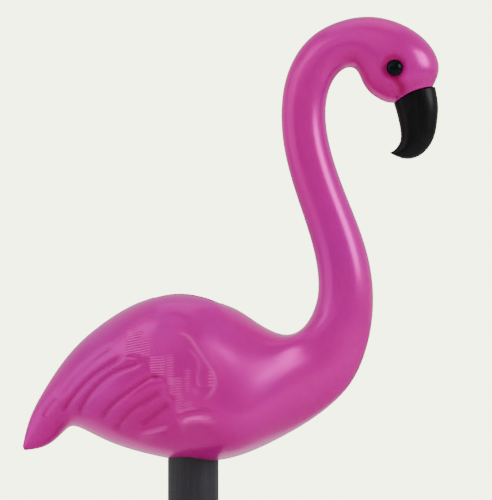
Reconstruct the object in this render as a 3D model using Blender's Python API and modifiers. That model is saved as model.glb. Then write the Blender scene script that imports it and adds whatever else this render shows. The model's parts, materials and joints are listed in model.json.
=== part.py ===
"""Solar garden light: a pink moulded flamingo with a black beak and bead eyes, on a dark pole.

Metres, +Z up. The bird looks along +X and is symmetric about the plane y = 0.
The origin is on the pole's axis, at the ground, where the pole is cut off flat.

The bird is a loft between two rails, the line of the back and the line of the front.
Both run from the tail tip over the body and up the neck to the root of the beak.
Its pose and carving are drawn in shares of its length: the drawing is 100 units long,
with x counted from the tail tip and z from the lowest point of the belly.
"""

import math
from collections import namedtuple

import bmesh
import bpy
import numpy as np
from mathutils import Matrix, Vector
from mathutils.bvhtree import BVHTree

# Driving dimensions

BIRD_LENGTH = 0.172  # tail tip to forehead
POLE_DIAMETER = 0.021
POLE_EXPOSED = 0.240  # ground to the lowest point of the belly
SOCKET_DEPTH = 0.032  # from the lowest point of the belly up to the socket's ceiling
FIT_GAP = 0.0003  # between pieces that seat on or in each other
EYE_DIAMETER = 0.0064
EYE_SEAT_DEPTH = 0.0028  # from the head's skin to the floor of the eye's seat
EYE_RIM_DEPTH = 0.0010  # from the head's skin to where the eye's dome starts
EYE_DOME = 0.0021  # height of the dome
EYE_DISH_DIAMETER = 0.0128  # the shallow hollow round the eye
EYE_DISH_DEPTH = 0.0013
PANEL_LENGTH = 0.028
PANEL_WIDTH = 0.022
PANEL_THICKNESS = 0.0025
PANEL_CORNER = 0.0025  # radius of its upright corners
PANEL_SUNK = 0.0029  # its face below the ridge of the back, at its middle

# Places on the drawing, in units of a hundredth of the bird's length

DRAWING_LENGTH = 100.0
POLE_AT_X = 41.1
EYE_AT = (89.2, 94.2)
PANEL_AT_X = 39.4
PANEL_TILT_DEG = 5.0  # nose down, along the chord of the ridge

Station = namedtuple("Station", "back front half_width fullness")

# Fullness is the exponent of the section's back half: 2 is an ellipse, more is squarer.
BIRD_STATIONS = (
    Station((0.1, 3.4), (0.7, 2.5), 0.6, 2.0),
    Station((1.4, 8.8), (5.8, 3.6), 2.6, 2.0),
    Station((4.9, 16.3), (10.6, 7.5), 5.2, 2.0),
    Station((9.1, 22.8), (12.7, 8.3), 7.9, 2.0),
    Station((16.9, 31.1), (19.2, 5.4), 12.4, 2.1),
    Station((27.1, 37.7), (27.8, 2.3), 16.3, 2.8),
    Station((38.6, 40.4), (39.1, 0.1), 18.0, 3.0),
    Station((49.3, 37.7), (50.4, 0.8), 17.2, 2.8),
    Station((57.6, 32.5), (62.1, 5.6), 14.4, 2.2),
    Station((63.4, 30.3), (72.5, 12.1), 11.4, 2.0),
    Station((66.3, 31.1), (78.7, 18.3), 9.6, 2.0),
    Station((68.7, 33.6), (82.6, 26.7), 8.0, 2.0),
    Station((70.9, 39.3), (84.3, 37.2), 6.7, 2.0),
    Station((70.1, 50.1), (82.8, 50.1), 6.2, 2.0),
    Station((66.2, 62.8), (77.9, 63.6), 5.7, 2.0),
    Station((63.0, 74.6), (74.1, 74.8), 5.4, 2.0),
    Station((62.3, 84.9), (72.9, 83.7), 5.3, 2.0),
    Station((64.7, 95.4), (74.5, 90.9), 5.4, 2.0),
    Station((71.0, 103.0), (77.5, 94.1), 5.7, 2.0),
    Station((80.7, 106.5), (80.2, 93.8), 6.3, 2.0),
    Station((90.7, 105.0), (82.1, 90.2), 7.0, 2.1),
    Station((98.3, 99.2), (85.1, 87.2), 6.8, 2.2),
    Station((100.0, 93.3), (87.8, 86.0), 5.4, 2.2),
    Station((98.6, 89.7), (89.2, 85.9), 4.3, 2.2),
)
BEAK_STATIONS = (
    Station((99.4, 89.4), (89.2, 85.8), 3.7, 2.2),
    Station((99.9, 85.6), (89.9, 83.6), 3.5, 2.2),
    Station((99.7, 81.5), (90.6, 80.6), 3.2, 2.2),
    Station((98.7, 77.1), (90.9, 78.1), 2.8, 2.2),
    Station((96.7, 74.2), (90.7, 76.6), 2.4, 2.2),
    Station((93.9, 72.6), (90.0, 75.3), 1.9, 2.1),
    Station((91.2, 72.6), (89.2, 74.5), 1.2, 2.0),
    Station((88.6, 73.7), (88.3, 74.0), 0.3, 2.0),
)
JOINT_ARCH = 0.9  # how far the beak's root rises into the head at its sides
ARCH_RINGS = 4  # over how many rings the arch fades

WING_CENTRE = (25.0, 20.0)
WING_HALF_LENGTH = 23.5
WING_HALF_HEIGHT = 11.4
WING_SLOPE_DEG = 18.5
WING_HEIGHT = 0.75  # how far the shoulder of the wing stands proud of the flank
WING_EDGE = 0.35  # share of the wing's half size over which it rises

Groove = namedtuple("Groove", "points radius")

FEATHER_GROOVES = (
    Groove(((25.4, 25.8), (17.6, 21.4), (13.2, 16.2), (10.2, 11.8)), 0.6),
    Groove(((29.6, 24.2), (20.4, 19.0), (16.2, 14.6), (14.2, 11.0)), 0.66),
    Groove(((34.2, 20.9), (26.0, 17.2), (21.1, 12.4), (19.0, 9.6)), 0.66),
    Groove(((34.6, 17.6), (28.6, 13.9), (25.0, 10.6), (22.4, 7.8)), 0.62),
    Groove(((35.9, 14.3), (32.3, 11.8), (28.9, 8.8)), 0.55),
)
SHOULDER_GROOVE = Groove(((37.0, 32.6), (43.2, 27.0), (46.4, 20.6), (44.6, 15.8)), 0.5)
LORE_CREASE = Groove(((90.6, 92.6), (92.0, 90.6), (92.8, 88.6)), 0.6)
GROOVE_BITE = 0.75  # share of a groove cutter's radius that goes below the skin
GROOVE_FADE = 0.35  # radius at a groove's ends, as a share of that at its middle

# How finely the forms are divided

BIRD_SEGMENTS = 36
BIRD_PITCH = 0.0046
BEAK_SEGMENTS = 20
BEAK_PITCH = 0.0024
GROOVE_STEPS = 8
POLE_SIDES = 48
EYE_SIDES = 24
DOME_STEPS = 6
DISH_STEPS = 4
CORNER_STEPS = 4
SHARP_ANGLE_DEG = 40.0

UNIT = BIRD_LENGTH / DRAWING_LENGTH
SOCKET_CEILING = POLE_EXPOSED + SOCKET_DEPTH


def on_drawing(x, z):
    """The point of the middle plane that lies at (x, z) of the drawing."""
    return Vector(((x - POLE_AT_X) * UNIT, 0.0, POLE_EXPOSED + z * UNIT))


# Collections and materials


def clear_scene():
    """Removes every object of the scene."""
    for old in list(bpy.data.objects):
        bpy.data.objects.remove(old)


def collection(name):
    """A new collection of the scene."""
    made = bpy.data.collections.new(name)
    bpy.context.scene.collection.children.link(made)
    return made


def plastic(name, colour, roughness):
    """A moulded plastic of one colour."""
    material = bpy.data.materials.new(name)
    material.use_nodes = True
    shader = material.node_tree.nodes["Principled BSDF"]
    shader.inputs["Base Color"].default_value = (*colour, 1.0)
    shader.inputs["Roughness"].default_value = roughness
    shader.inputs["Metallic"].default_value = 0.0
    return material


def finish_part(part, material):
    """Gives a piece its material and shades its round faces smooth."""
    part.data.materials.clear()
    part.data.materials.append(material)
    part.data.shade_smooth()
    part.data.set_sharp_from_angle(angle=math.radians(SHARP_ANGLE_DEG))
    return part


def as_cutter(cutter, cutters):
    """Puts an object among the cutters, out of the render."""
    cutters.objects.link(cutter)
    cutter.hide_render = True
    cutter.display_type = "WIRE"
    return cutter


# Curves and sections


def smooth_step(value):
    """0 below 0, 1 above 1, and smooth between."""
    value = min(1.0, max(0.0, value))
    return value * value * (3 - 2 * value)


def natural_spline(knots, values):
    """A function of t that runs smoothly through the values, one row a knot."""
    knots = np.asarray(knots, float)
    values = np.asarray(values, float)
    count = len(knots)
    steps = np.diff(knots)
    slopes = np.diff(values, axis=0) / steps[:, None]
    system = np.eye(count)
    right = np.zeros_like(values)
    for i in range(1, count - 1):
        system[i, i - 1 : i + 2] = steps[i - 1], 2 * (steps[i - 1] + steps[i]), steps[i]
        right[i] = 6 * (slopes[i] - slopes[i - 1])
    bends = np.linalg.solve(system, right)

    def at(t):
        i = int(np.clip(np.searchsorted(knots, t) - 1, 0, count - 2))
        h = steps[i]
        a = (knots[i + 1] - t) / h
        b = 1 - a
        curved = ((a**3 - a) * bends[i] + (b**3 - b) * bends[i + 1]) * h * h / 6
        return a * values[i] + b * values[i + 1] + curved

    return at


def rails(stations):
    """(length, function of the distance along it) of the loft through the stations."""
    rows = np.array([(*s.back, *s.front, s.half_width, s.fullness) for s in stations])
    moves = np.diff(rows, axis=0)
    chords = (np.hypot(*moves[:, :2].T) + np.hypot(*moves[:, 2:4].T)) / 2
    knots = np.concatenate(([0.0], np.cumsum(chords)))
    return knots[-1], natural_spline(knots, rows)


def section_points(row, segments):
    """One section's points, from the back round by the right flank (-Y) to the front and home."""
    back = on_drawing(row[0], row[1])
    front = on_drawing(row[2], row[3])
    middle = (back + front) / 2
    points = []
    for k in range(segments):
        angle = 2 * math.pi * k / segments
        cosine, sine = math.cos(angle), math.sin(angle)
        power = 2 / (row[5] if cosine > 0 else 2.0)
        along = math.copysign(abs(cosine) ** power, cosine)
        aside = math.copysign(abs(sine) ** power, sine)
        point = middle + (back - middle) * along
        point.y = -aside * row[4] * UNIT
        points.append(point)
    return points


def loft(name, stations, segments, pitch, shape_ring):
    """A closed solid through the stations, with a fan at both ends."""
    length, at = rails(stations)
    steps = math.ceil(length * UNIT / pitch)
    mesh = bmesh.new()
    rings = []
    for i in range(steps + 1):
        points = section_points(at(length * i / steps), segments)
        rings.append([mesh.verts.new(p) for p in shape_ring(points, i, steps)])
    for near, far in zip(rings, rings[1:]):
        for k in range(segments):
            j = (k + 1) % segments
            mesh.faces.new((near[k], near[j], far[j], far[k]))
    for ring in (rings[0], rings[-1]):
        hub = mesh.verts.new((ring[0].co + ring[segments // 2].co) / 2)
        for k in range(segments):
            mesh.faces.new((ring[k], ring[(k + 1) % segments], hub))
    bmesh.ops.recalc_face_normals(mesh, faces=mesh.faces)
    data = bpy.data.meshes.new(name)
    mesh.to_mesh(data)
    mesh.free()
    return bpy.data.objects.new(name, data)


# The joint between head and beak


def arched(points, share, drop):
    """The ring with its sides raised into the head by a share of the arch, and lowered by drop."""
    back = on_drawing(*BIRD_STATIONS[-1].back)
    front = on_drawing(*BIRD_STATIONS[-1].front)
    across = (back - front).normalized()
    to_tip = Vector((across.z, 0.0, -across.x))
    half_width = BIRD_STATIONS[-1].half_width * UNIT
    rises = [JOINT_ARCH * UNIT * share * (p.y / half_width) ** 2 for p in points]
    return [p - to_tip * (rise - drop) for p, rise in zip(points, rises)]


def shape_bird_ring(points, i, steps):
    """A ring of the bird with the wing on its flanks and, at the head's end, the joint's arch."""
    points = [with_wing(p) for p in points]
    return arched(points, smooth_step(1 - (steps - i) / ARCH_RINGS), 0.0)


def shape_beak_ring(points, i, steps):
    """A ring of the beak with, at its root, the joint's arch and the gap to the head."""
    share = smooth_step(1 - i / ARCH_RINGS)
    return arched(points, share, FIT_GAP * share)


# Carving of the wings and the crease of the face


def wing_rise(x, z):
    """How far the wing stands proud of the flank at (x, z) of the drawing."""
    slope = math.radians(WING_SLOPE_DEG)
    dx, dz = x - WING_CENTRE[0], z - WING_CENTRE[1]
    along = (dx * math.cos(slope) + dz * math.sin(slope)) / WING_HALF_LENGTH
    up = (dz * math.cos(slope) - dx * math.sin(slope)) / WING_HALF_HEIGHT
    edge = smooth_step((1 - math.hypot(along, up)) / WING_EDGE)
    return WING_HEIGHT * edge * smooth_step(0.5 + along)


def with_wing(point):
    """The skin's point, moved outward where the wing covers it."""
    if abs(point.y) < FIT_GAP:
        return point
    x = point.x / UNIT + POLE_AT_X
    z = (point.z - POLE_EXPOSED) / UNIT
    aside = math.copysign(wing_rise(x, z) * UNIT, point.y)
    return point + Vector((0.0, aside, 0.0))


def skin_point(tree, x, z, side):
    """The skin's point at (x, z) of the drawing, on the side of that sign of Y."""
    start = on_drawing(x, z) + Vector((0.0, side * BIRD_LENGTH, 0.0))
    return tree.ray_cast(start, Vector((0.0, -side, 0.0)))[0]


def as_mesh(curve_object):
    """The curve as a mesh object whose caps are welded on."""
    bpy.context.scene.collection.objects.link(curve_object)
    bpy.context.view_layer.update()
    graph = bpy.context.evaluated_depsgraph_get()
    data = bpy.data.meshes.new_from_object(curve_object.evaluated_get(graph))
    welded = bmesh.new()
    welded.from_mesh(data)
    bmesh.ops.remove_doubles(welded, verts=welded.verts, dist=FIT_GAP / 10)
    bmesh.ops.recalc_face_normals(welded, faces=welded.faces)
    welded.to_mesh(data)
    welded.free()
    made = bpy.data.objects.new(data.name, data)
    made.matrix_world = curve_object.matrix_world
    bpy.data.objects.remove(curve_object)
    return made


def groove_cutter(name, groove, tree, side):
    """A tapered tube along the groove, sunk into the skin by its bite."""
    route = natural_spline(np.linspace(0.0, 1.0, len(groove.points)), groove.points)
    data = bpy.data.curves.new(name, "CURVE")
    data.dimensions = "3D"
    data.bevel_depth = groove.radius * UNIT
    data.bevel_resolution = 1
    data.use_fill_caps = True
    spline = data.splines.new("POLY")
    spline.points.add(GROOVE_STEPS)
    for i, place in enumerate(spline.points):
        t = i / GROOVE_STEPS
        size = GROOVE_FADE + (1 - GROOVE_FADE) * math.sin(math.pi * t)
        lift = side * groove.radius * UNIT * size * (1 - GROOVE_BITE)
        place.co = (*(skin_point(tree, *route(t), side) + Vector((0.0, lift, 0.0))), 1.0)
        place.radius = size
    return as_mesh(bpy.data.objects.new(name, data))


# Solids shared by a piece and its seat


def cylinder(name, diameter, low, high, sides, turn=None):
    """An upright cylinder from low to high, then turned and moved by the matrix."""
    mesh = bmesh.new()
    bmesh.ops.create_cone(
        mesh,
        cap_ends=True,
        segments=sides,
        radius1=diameter / 2,
        radius2=diameter / 2,
        depth=high - low,
        matrix=Matrix.Translation((0.0, 0.0, (low + high) / 2)),
    )
    return placed(name, mesh, turn)


def rounded_slab(name, length, width, low, high, corner, turn):
    """A slab from low to high with rounded upright edges, then turned and moved by the matrix."""
    mesh = bmesh.new()
    scale = Matrix.Diagonal((length, width, high - low, 1.0))
    bmesh.ops.create_cube(
        mesh, size=1.0, matrix=Matrix.Translation((0.0, 0.0, (low + high) / 2)) @ scale
    )
    upright = [e for e in mesh.edges if abs(e.verts[0].co.z - e.verts[1].co.z) > FIT_GAP]
    bmesh.ops.bevel(
        mesh,
        geom=upright,
        offset=corner,
        segments=CORNER_STEPS,
        profile=0.5,
        affect="EDGES",
    )
    return placed(name, mesh, turn)


def placed(name, mesh, turn):
    """An object of the mesh, put in place by the matrix."""
    data = bpy.data.meshes.new(name)
    mesh.to_mesh(data)
    mesh.free()
    made = bpy.data.objects.new(name, data)
    if turn:
        made.matrix_world = turn
    return made


def outward_at(point, side):
    """The matrix that puts local Z along Y, away from the bird, with its origin at the point."""
    return Matrix.Translation(point) @ Matrix.Rotation(-side * math.pi / 2, 4, "X")


def turned(name, profile, turn):
    """A solid turned about its own Z from (radius, height) points, top first, then put in place."""
    drawn = bmesh.new()
    points = [drawn.verts.new((radius, 0.0, height)) for radius, height in profile]
    for upper, lower in zip(points, points[1:]):
        drawn.edges.new((upper, lower))
    made = placed(name, drawn, turn)
    screw = made.modifiers.new("turn", "SCREW")
    screw.axis = "Z"
    screw.steps = screw.render_steps = EYE_SIDES
    screw.use_merge_vertices = True
    screw.merge_threshold = FIT_GAP / 30
    screw.use_smooth_shade = True
    return made


def eye_hollow(name, turn):
    """The turned cutter of an eye's seat and of the shallow dish round it."""
    seat_radius = EYE_DIAMETER / 2 + FIT_GAP
    dish_radius = EYE_DISH_DIAMETER / 2
    profile = [(0.0, EYE_DOME), (dish_radius, EYE_DOME)]
    inmost = math.asin(seat_radius / dish_radius)
    for i in range(DISH_STEPS + 1):
        angle = math.pi / 2 + (inmost - math.pi / 2) * i / DISH_STEPS
        profile.append((dish_radius * math.sin(angle), -EYE_DISH_DEPTH * math.cos(angle)))
    profile += [(seat_radius, -EYE_SEAT_DEPTH), (0.0, -EYE_SEAT_DEPTH)]
    return turned(name, profile, turn)


def panel_turn():
    """The matrix that puts local Z square to the panel's face, with its origin on the face."""
    length, at = rails(BIRD_STATIONS)
    ridge = [at(length * i / 400)[:2] for i in range(201)]
    nearest = min(ridge, key=lambda place: abs(place[0] - PANEL_AT_X))
    centre = on_drawing(*nearest) - Vector((0.0, 0.0, PANEL_SUNK))
    return Matrix.Translation(centre) @ Matrix.Rotation(math.radians(PANEL_TILT_DEG), 4, "Y")


# The pieces


def make_bird(cutters):
    """The moulded bird with its carving, and seats for the eyes, the panel and the pole."""
    bird = loft("flamingo", BIRD_STATIONS, BIRD_SEGMENTS, BIRD_PITCH, shape_bird_ring)
    drawn = bmesh.new()
    drawn.from_mesh(bird.data)
    skin = BVHTree.FromBMesh(drawn)
    drawn.free()

    for side, word in ((-1, "right"), (1, "left")):
        for i, groove in enumerate(FEATHER_GROOVES):
            as_cutter(groove_cutter(f"feather_{word}_{i}", groove, skin, side), cutters)
        as_cutter(groove_cutter(f"shoulder_{word}", SHOULDER_GROOVE, skin, side), cutters)
        as_cutter(groove_cutter(f"lore_{word}", LORE_CREASE, skin, side), cutters)
        turn = outward_at(skin_point(skin, *EYE_AT, side), side)
        as_cutter(eye_hollow(f"eye_hollow_{word}", turn), cutters)

    socket_diameter = POLE_DIAMETER + 2 * FIT_GAP
    below_belly = POLE_EXPOSED - SOCKET_DEPTH
    socket = cylinder("pole_socket", socket_diameter, below_belly, SOCKET_CEILING, POLE_SIDES)
    as_cutter(socket, cutters)
    pocket = rounded_slab(
        "panel_pocket",
        PANEL_LENGTH + 2 * FIT_GAP,
        PANEL_WIDTH + 2 * FIT_GAP,
        -PANEL_THICKNESS - FIT_GAP,
        2 * PANEL_SUNK,
        PANEL_CORNER + FIT_GAP,
        panel_turn(),
    )
    as_cutter(pocket, cutters)

    carve = bird.modifiers.new("carve", "BOOLEAN")
    carve.operation = "DIFFERENCE"
    carve.operand_type = "COLLECTION"
    carve.collection = cutters
    carve.solver = "EXACT"
    return bird, skin


def make_eye(name, skin, side):
    """A bead eye: a short stem in its seat under a low dome."""
    radius = EYE_DIAMETER / 2
    profile = []
    for i in range(DOME_STEPS + 1):
        angle = math.pi / 2 * i / DOME_STEPS
        height = -EYE_RIM_DEPTH + EYE_DOME * math.cos(angle)
        profile.append((radius * math.sin(angle), height))
    foot = -EYE_SEAT_DEPTH + FIT_GAP
    profile += [(radius, foot), (0.0, foot)]
    return turned(name, profile, outward_at(skin_point(skin, *EYE_AT, side), side))


def main():
    """Builds the light."""
    clear_scene()
    parts = collection("flamingo_garden_light")
    cutters = collection("cutters")

    pink = plastic("pink_plastic", (0.56, 0.045, 0.29), 0.32)
    black = plastic("black_plastic", (0.008, 0.008, 0.009), 0.3)
    eye_black = plastic("eye_bead", (0.004, 0.004, 0.005), 0.08)
    grey = plastic("pole_plastic", (0.04, 0.038, 0.043), 0.45)
    cell = plastic("solar_cell", (0.012, 0.018, 0.05), 0.12)

    bird, skin = make_bird(cutters)
    beak = loft("beak", BEAK_STATIONS, BEAK_SEGMENTS, BEAK_PITCH, shape_beak_ring)
    pole = cylinder("pole", POLE_DIAMETER, 0.0, SOCKET_CEILING - FIT_GAP, POLE_SIDES)
    panel = rounded_slab(
        "solar_panel",
        PANEL_LENGTH,
        PANEL_WIDTH,
        -PANEL_THICKNESS,
        0.0,
        PANEL_CORNER,
        panel_turn(),
    )
    pieces = [(bird, pink), (beak, black), (pole, grey), (panel, cell)]
    pieces += [(make_eye("eye_right", skin, -1), eye_black)]
    pieces += [(make_eye("eye_left", skin, 1), eye_black)]
    for piece, material in pieces:
        parts.objects.link(finish_part(piece, material))


main()
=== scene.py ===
"""Looks of the solar flamingo garden light: its skins, finishes, studio and camera.

Metres, +Z up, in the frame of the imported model: the pole stands on the Z axis and the bird
looks along +X. The bird is drawn from the side in hundredths of its own length, here called
units, with u counted from the tail tip and w from the lowest point of the belly.
"""

import json
import logging
import math
from collections.abc import Iterable, Sequence
from dataclasses import dataclass
from enum import Enum

import bmesh
import bpy
import numpy as np
from mathutils import Matrix, Vector


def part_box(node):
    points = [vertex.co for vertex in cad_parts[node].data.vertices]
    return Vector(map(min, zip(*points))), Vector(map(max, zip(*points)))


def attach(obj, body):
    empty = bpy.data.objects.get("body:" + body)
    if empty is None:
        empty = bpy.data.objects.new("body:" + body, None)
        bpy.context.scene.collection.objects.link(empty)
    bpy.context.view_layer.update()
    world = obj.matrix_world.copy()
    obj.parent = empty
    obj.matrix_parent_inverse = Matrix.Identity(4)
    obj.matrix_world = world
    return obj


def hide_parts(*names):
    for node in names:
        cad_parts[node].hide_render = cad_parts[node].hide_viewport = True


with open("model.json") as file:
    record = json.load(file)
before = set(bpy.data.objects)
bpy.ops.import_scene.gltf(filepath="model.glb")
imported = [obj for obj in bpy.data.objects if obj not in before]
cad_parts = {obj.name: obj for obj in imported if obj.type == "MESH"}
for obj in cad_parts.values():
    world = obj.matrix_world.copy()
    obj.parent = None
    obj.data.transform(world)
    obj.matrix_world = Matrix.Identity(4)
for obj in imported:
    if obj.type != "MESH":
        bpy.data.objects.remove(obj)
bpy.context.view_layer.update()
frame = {"record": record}

LOG = logging.getLogger("flamingo_light")

MM = 0.001
SEAT_GAP = 0.3 * MM  # between pieces that seat on or in each other

SHARP = math.radians(35)  # edges that turn further than this stay crisp

Triple = tuple[float, float, float]
Colour = Triple
Place = tuple[float, float]


# Numbers and curves


def smooth_step(values: np.ndarray | float) -> np.ndarray | float:
    """0 below 0, 1 above 1, and smooth between."""
    held = np.clip(values, 0.0, 1.0)
    return held * held * (3.0 - 2.0 * held)


def bell(distance: np.ndarray, width: float) -> np.ndarray:
    """1 at no distance, falling off smoothly over the width."""
    return np.exp(-((distance / width) ** 2))


def faded(share: np.ndarray, fade: float) -> np.ndarray:
    """1 along a line, falling smoothly to 0 over the fade at either end of it."""
    return smooth_step(share / fade) * smooth_step((1 - share) / fade)


class Spline:
    """A natural cubic spline through rows of numbers, one row a knot."""

    def __init__(self, knots: Sequence[float], rows: Sequence[Sequence[float]]) -> None:
        """Works out the bends at the knots.

        Args:
            knots: the places of the rows along the curve, rising.
            rows: the numbers that the curve runs through.
        """
        self.knots = np.asarray(knots, float)
        self.rows = np.asarray(rows, float)
        self.steps = np.diff(self.knots)
        slopes = np.diff(self.rows, axis=0) / self.steps[:, None]
        count = len(self.knots)
        system = np.eye(count)
        right = np.zeros_like(self.rows)
        for i in range(1, count - 1):
            before, after = self.steps[i - 1], self.steps[i]
            system[i, i - 1 : i + 2] = before, 2 * (before + after), after
            right[i] = 6 * (slopes[i] - slopes[i - 1])
        self.bends = np.linalg.solve(system, right)

    def at(self, places: np.ndarray | float) -> np.ndarray:
        """The curve's rows at the places.

        Args:
            places: one or more places along the curve.

        Returns:
            A row of numbers for each place.
        """
        places = np.asarray(places, float)
        i = np.clip(np.searchsorted(self.knots, places) - 1, 0, len(self.steps) - 1)
        step = self.steps[i][..., None]
        after = (places - self.knots[i])[..., None] / step
        before = 1 - after
        bent = (before**3 - before) * self.bends[i] + (after**3 - after) * self.bends[i + 1]
        return before * self.rows[i] + after * self.rows[i + 1] + bent * step * step / 6


@dataclass(frozen=True)
class Stroke:
    """A line drawn on the flank, as a smooth curve through places on the drawing."""

    places: tuple[Place, ...]
    samples: int = 40

    def points(self) -> np.ndarray:
        """The curve as a row of short straight runs."""
        spline = Spline(range(len(self.places)), self.places)
        return spline.at(np.linspace(0, len(self.places) - 1, self.samples))

    def reach(self, u: np.ndarray, w: np.ndarray) -> tuple[np.ndarray, np.ndarray]:
        """How places on the drawing lie to the stroke.

        Args:
            u: how far the places are from the tail tip, in units.
            w: how high they are above the belly, in units.

        Returns:
            The distance from the stroke in units, positive on its left, and the share of the
            stroke's length at the nearest point.
        """
        line = self.points()
        nearest = np.full(u.shape, np.inf)
        signed = np.zeros(u.shape)
        share = np.zeros(u.shape)
        for i, (start, end) in enumerate(zip(line, line[1:])):
            run = end - start
            du, dw = u - start[0], w - start[1]
            along = np.clip((du * run[0] + dw * run[1]) / (run @ run), 0.0, 1.0)
            off_u, off_w = du - along * run[0], dw - along * run[1]
            distance = np.hypot(off_u, off_w)
            closer = distance < nearest
            side = np.where(run[0] * dw - run[1] * du >= 0, 1.0, -1.0)
            nearest = np.where(closer, distance, nearest)
            signed = np.where(closer, distance * side, signed)
            share = np.where(closer, (i + along) / (len(line) - 1), share)
        return signed, share


# Nodes of the materials


class Signal:
    """A value in a material's nodes, on which arithmetic can be written."""

    def __init__(self, bench: "Bench", socket: bpy.types.NodeSocket) -> None:
        """Wraps an output socket of the bench's nodes."""
        self.bench = bench
        self.socket = socket

    def _math(self, operation: str, first: "Number", second: "Number") -> "Signal":
        """The result of a Math node on the two values."""
        return self.bench.value("ShaderNodeMath", {"operation": operation}, {0: first, 1: second})

    def __add__(self, other: "Number") -> "Signal":
        """This value plus the other."""
        return self._math("ADD", self, other)

    def __radd__(self, other: "Number") -> "Signal":
        """The other value plus this."""
        return self._math("ADD", other, self)

    def __sub__(self, other: "Number") -> "Signal":
        """This value less the other."""
        return self._math("SUBTRACT", self, other)

    def __rsub__(self, other: "Number") -> "Signal":
        """The other value less this."""
        return self._math("SUBTRACT", other, self)

    def __mul__(self, other: "Number") -> "Signal":
        """This value times the other."""
        return self._math("MULTIPLY", self, other)

    def __rmul__(self, other: "Number") -> "Signal":
        """The other value times this."""
        return self._math("MULTIPLY", other, self)

    def between(self, low: float, high: float) -> "Signal":
        """0 where this value is below low, 1 above high, and smooth between.

        Args:
            low: the value that gives 0.
            high: the value that gives 1.

        Returns:
            The share from 0 to 1.
        """
        settings = {"interpolation_type": "SMOOTHSTEP"}
        inputs = {"Value": self, "From Min": low, "From Max": high}
        return self.bench.value("ShaderNodeMapRange", settings, inputs)


Number = Signal | float


class Bench:
    """A tree of shader nodes in the making."""

    def __init__(self, tree: bpy.types.NodeTree) -> None:
        """Takes up the tree."""
        self.nodes = tree.nodes
        self.links = tree.links

    def node(self, kind: str, settings: dict, inputs: dict) -> bpy.types.Node:
        """Adds one node.

        Args:
            kind: the node's type.
            settings: its own settings, such as an operation, which are set first.
            inputs: a value or a Signal for each socket, by its name or number.

        Returns:
            The new node.
        """
        made = self.nodes.new(kind)
        for name, value in settings.items():
            setattr(made, name, value)
        for name, value in inputs.items():
            self.feed(made.inputs[name], value)
        return made

    def value(self, kind: str, settings: dict, inputs: dict, output: int | str = 0) -> Signal:
        """One output of a new node."""
        return Signal(self, self.node(kind, settings, inputs).outputs[output])

    def place(self, output: str, stretch: Triple = (1.0, 1.0, 1.0)) -> Signal:
        """A texture coordinate by its name, with each axis stretched."""
        place = self.value("ShaderNodeTexCoord", {}, {}, output)
        return self.value("ShaderNodeVectorMath", {"operation": "MULTIPLY"}, {0: place, 1: stretch})

    def axis(self, place: Signal, name: str) -> Signal:
        """The X, Y or Z of a place."""
        return self.value("ShaderNodeSeparateXYZ", {}, {0: place}, name)

    def mix(self, share: Signal, low: Signal | Colour, high: Signal | Colour) -> Signal:
        """The low colour where the share is 0, and the high one where it is 1."""
        return self.value("ShaderNodeMix", {"data_type": "RGBA"}, {0: share, 6: low, 7: high}, 2)

    def feed(self, socket: bpy.types.NodeSocket, value: object) -> None:
        """Links a Signal to the socket, or sets the socket's own value.

        Args:
            socket: an input of one of the nodes.
            value: a Signal, a number, a vector or a colour.
        """
        if isinstance(value, Signal):
            self.links.new(value.socket, socket)
        elif isinstance(value, tuple) and socket.type == "RGBA":
            socket.default_value = (*value[:3], 1.0)
        else:
            socket.default_value = value


class Surface(Bench):
    """A material in the making: a Principled shader and the nodes that feed it."""

    def __init__(self, name: str) -> None:
        """Starts a material with the name.

        Args:
            name: the material's name.
        """
        self.material = bpy.data.materials.new(name)
        self.material.use_nodes = True
        super().__init__(self.material.node_tree)
        self.shader = self.nodes["Principled BSDF"]

    def dress(self, values: dict[str, object]) -> bpy.types.Material:
        """Sets or links the shader's sockets by name.

        Args:
            values: a value or a Signal for each socket, by its name.

        Returns:
            The material.
        """
        for name, value in values.items():
            self.feed(self.shader.inputs[name], value)
        return self.material

    def noise(self, cell: float, detail: float = 3.0, stretch: Triple = (1.0, 1.0, 1.0)) -> Signal:
        """Soft noise about 0.5, in patches of the size, with so many finer layers of detail."""
        inputs = {"Vector": self.place("Object", stretch), "Scale": 1 / cell, "Detail": detail}
        return self.value("ShaderNodeTexNoise", {}, inputs)

    def flakes(self, cell: float) -> Signal:
        """A random value from 0 to 1 in each of many small cells of the size.

        Args:
            cell: the size of the cells, in metres.

        Returns:
            The random value.
        """
        inputs = {"Vector": self.place("Object"), "Scale": 1 / cell}
        colour = self.value("ShaderNodeTexVoronoi", {}, inputs, "Color")
        return self.value("ShaderNodeSeparateColor", {}, {0: colour})

    def painted(self, name: str) -> Signal:
        """The number that the mesh carries under the name."""
        return self.value("ShaderNodeAttribute", {"attribute_name": name}, {}, "Fac")

    def bump(self, height: Signal, depth: float) -> Signal:
        """The normal of a surface raised by the height, which runs from 0 to 1, times the depth."""
        return self.value("ShaderNodeBump", {}, {"Height": height, "Distance": depth, "Strength": 1.0})


def slot_colour(slot: str) -> Colour:
    """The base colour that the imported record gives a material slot."""
    row = next(m for m in frame["record"]["materials"] if m["slot"] == slot)
    return tuple(row["base_color"][:3])


# Finishes


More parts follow.
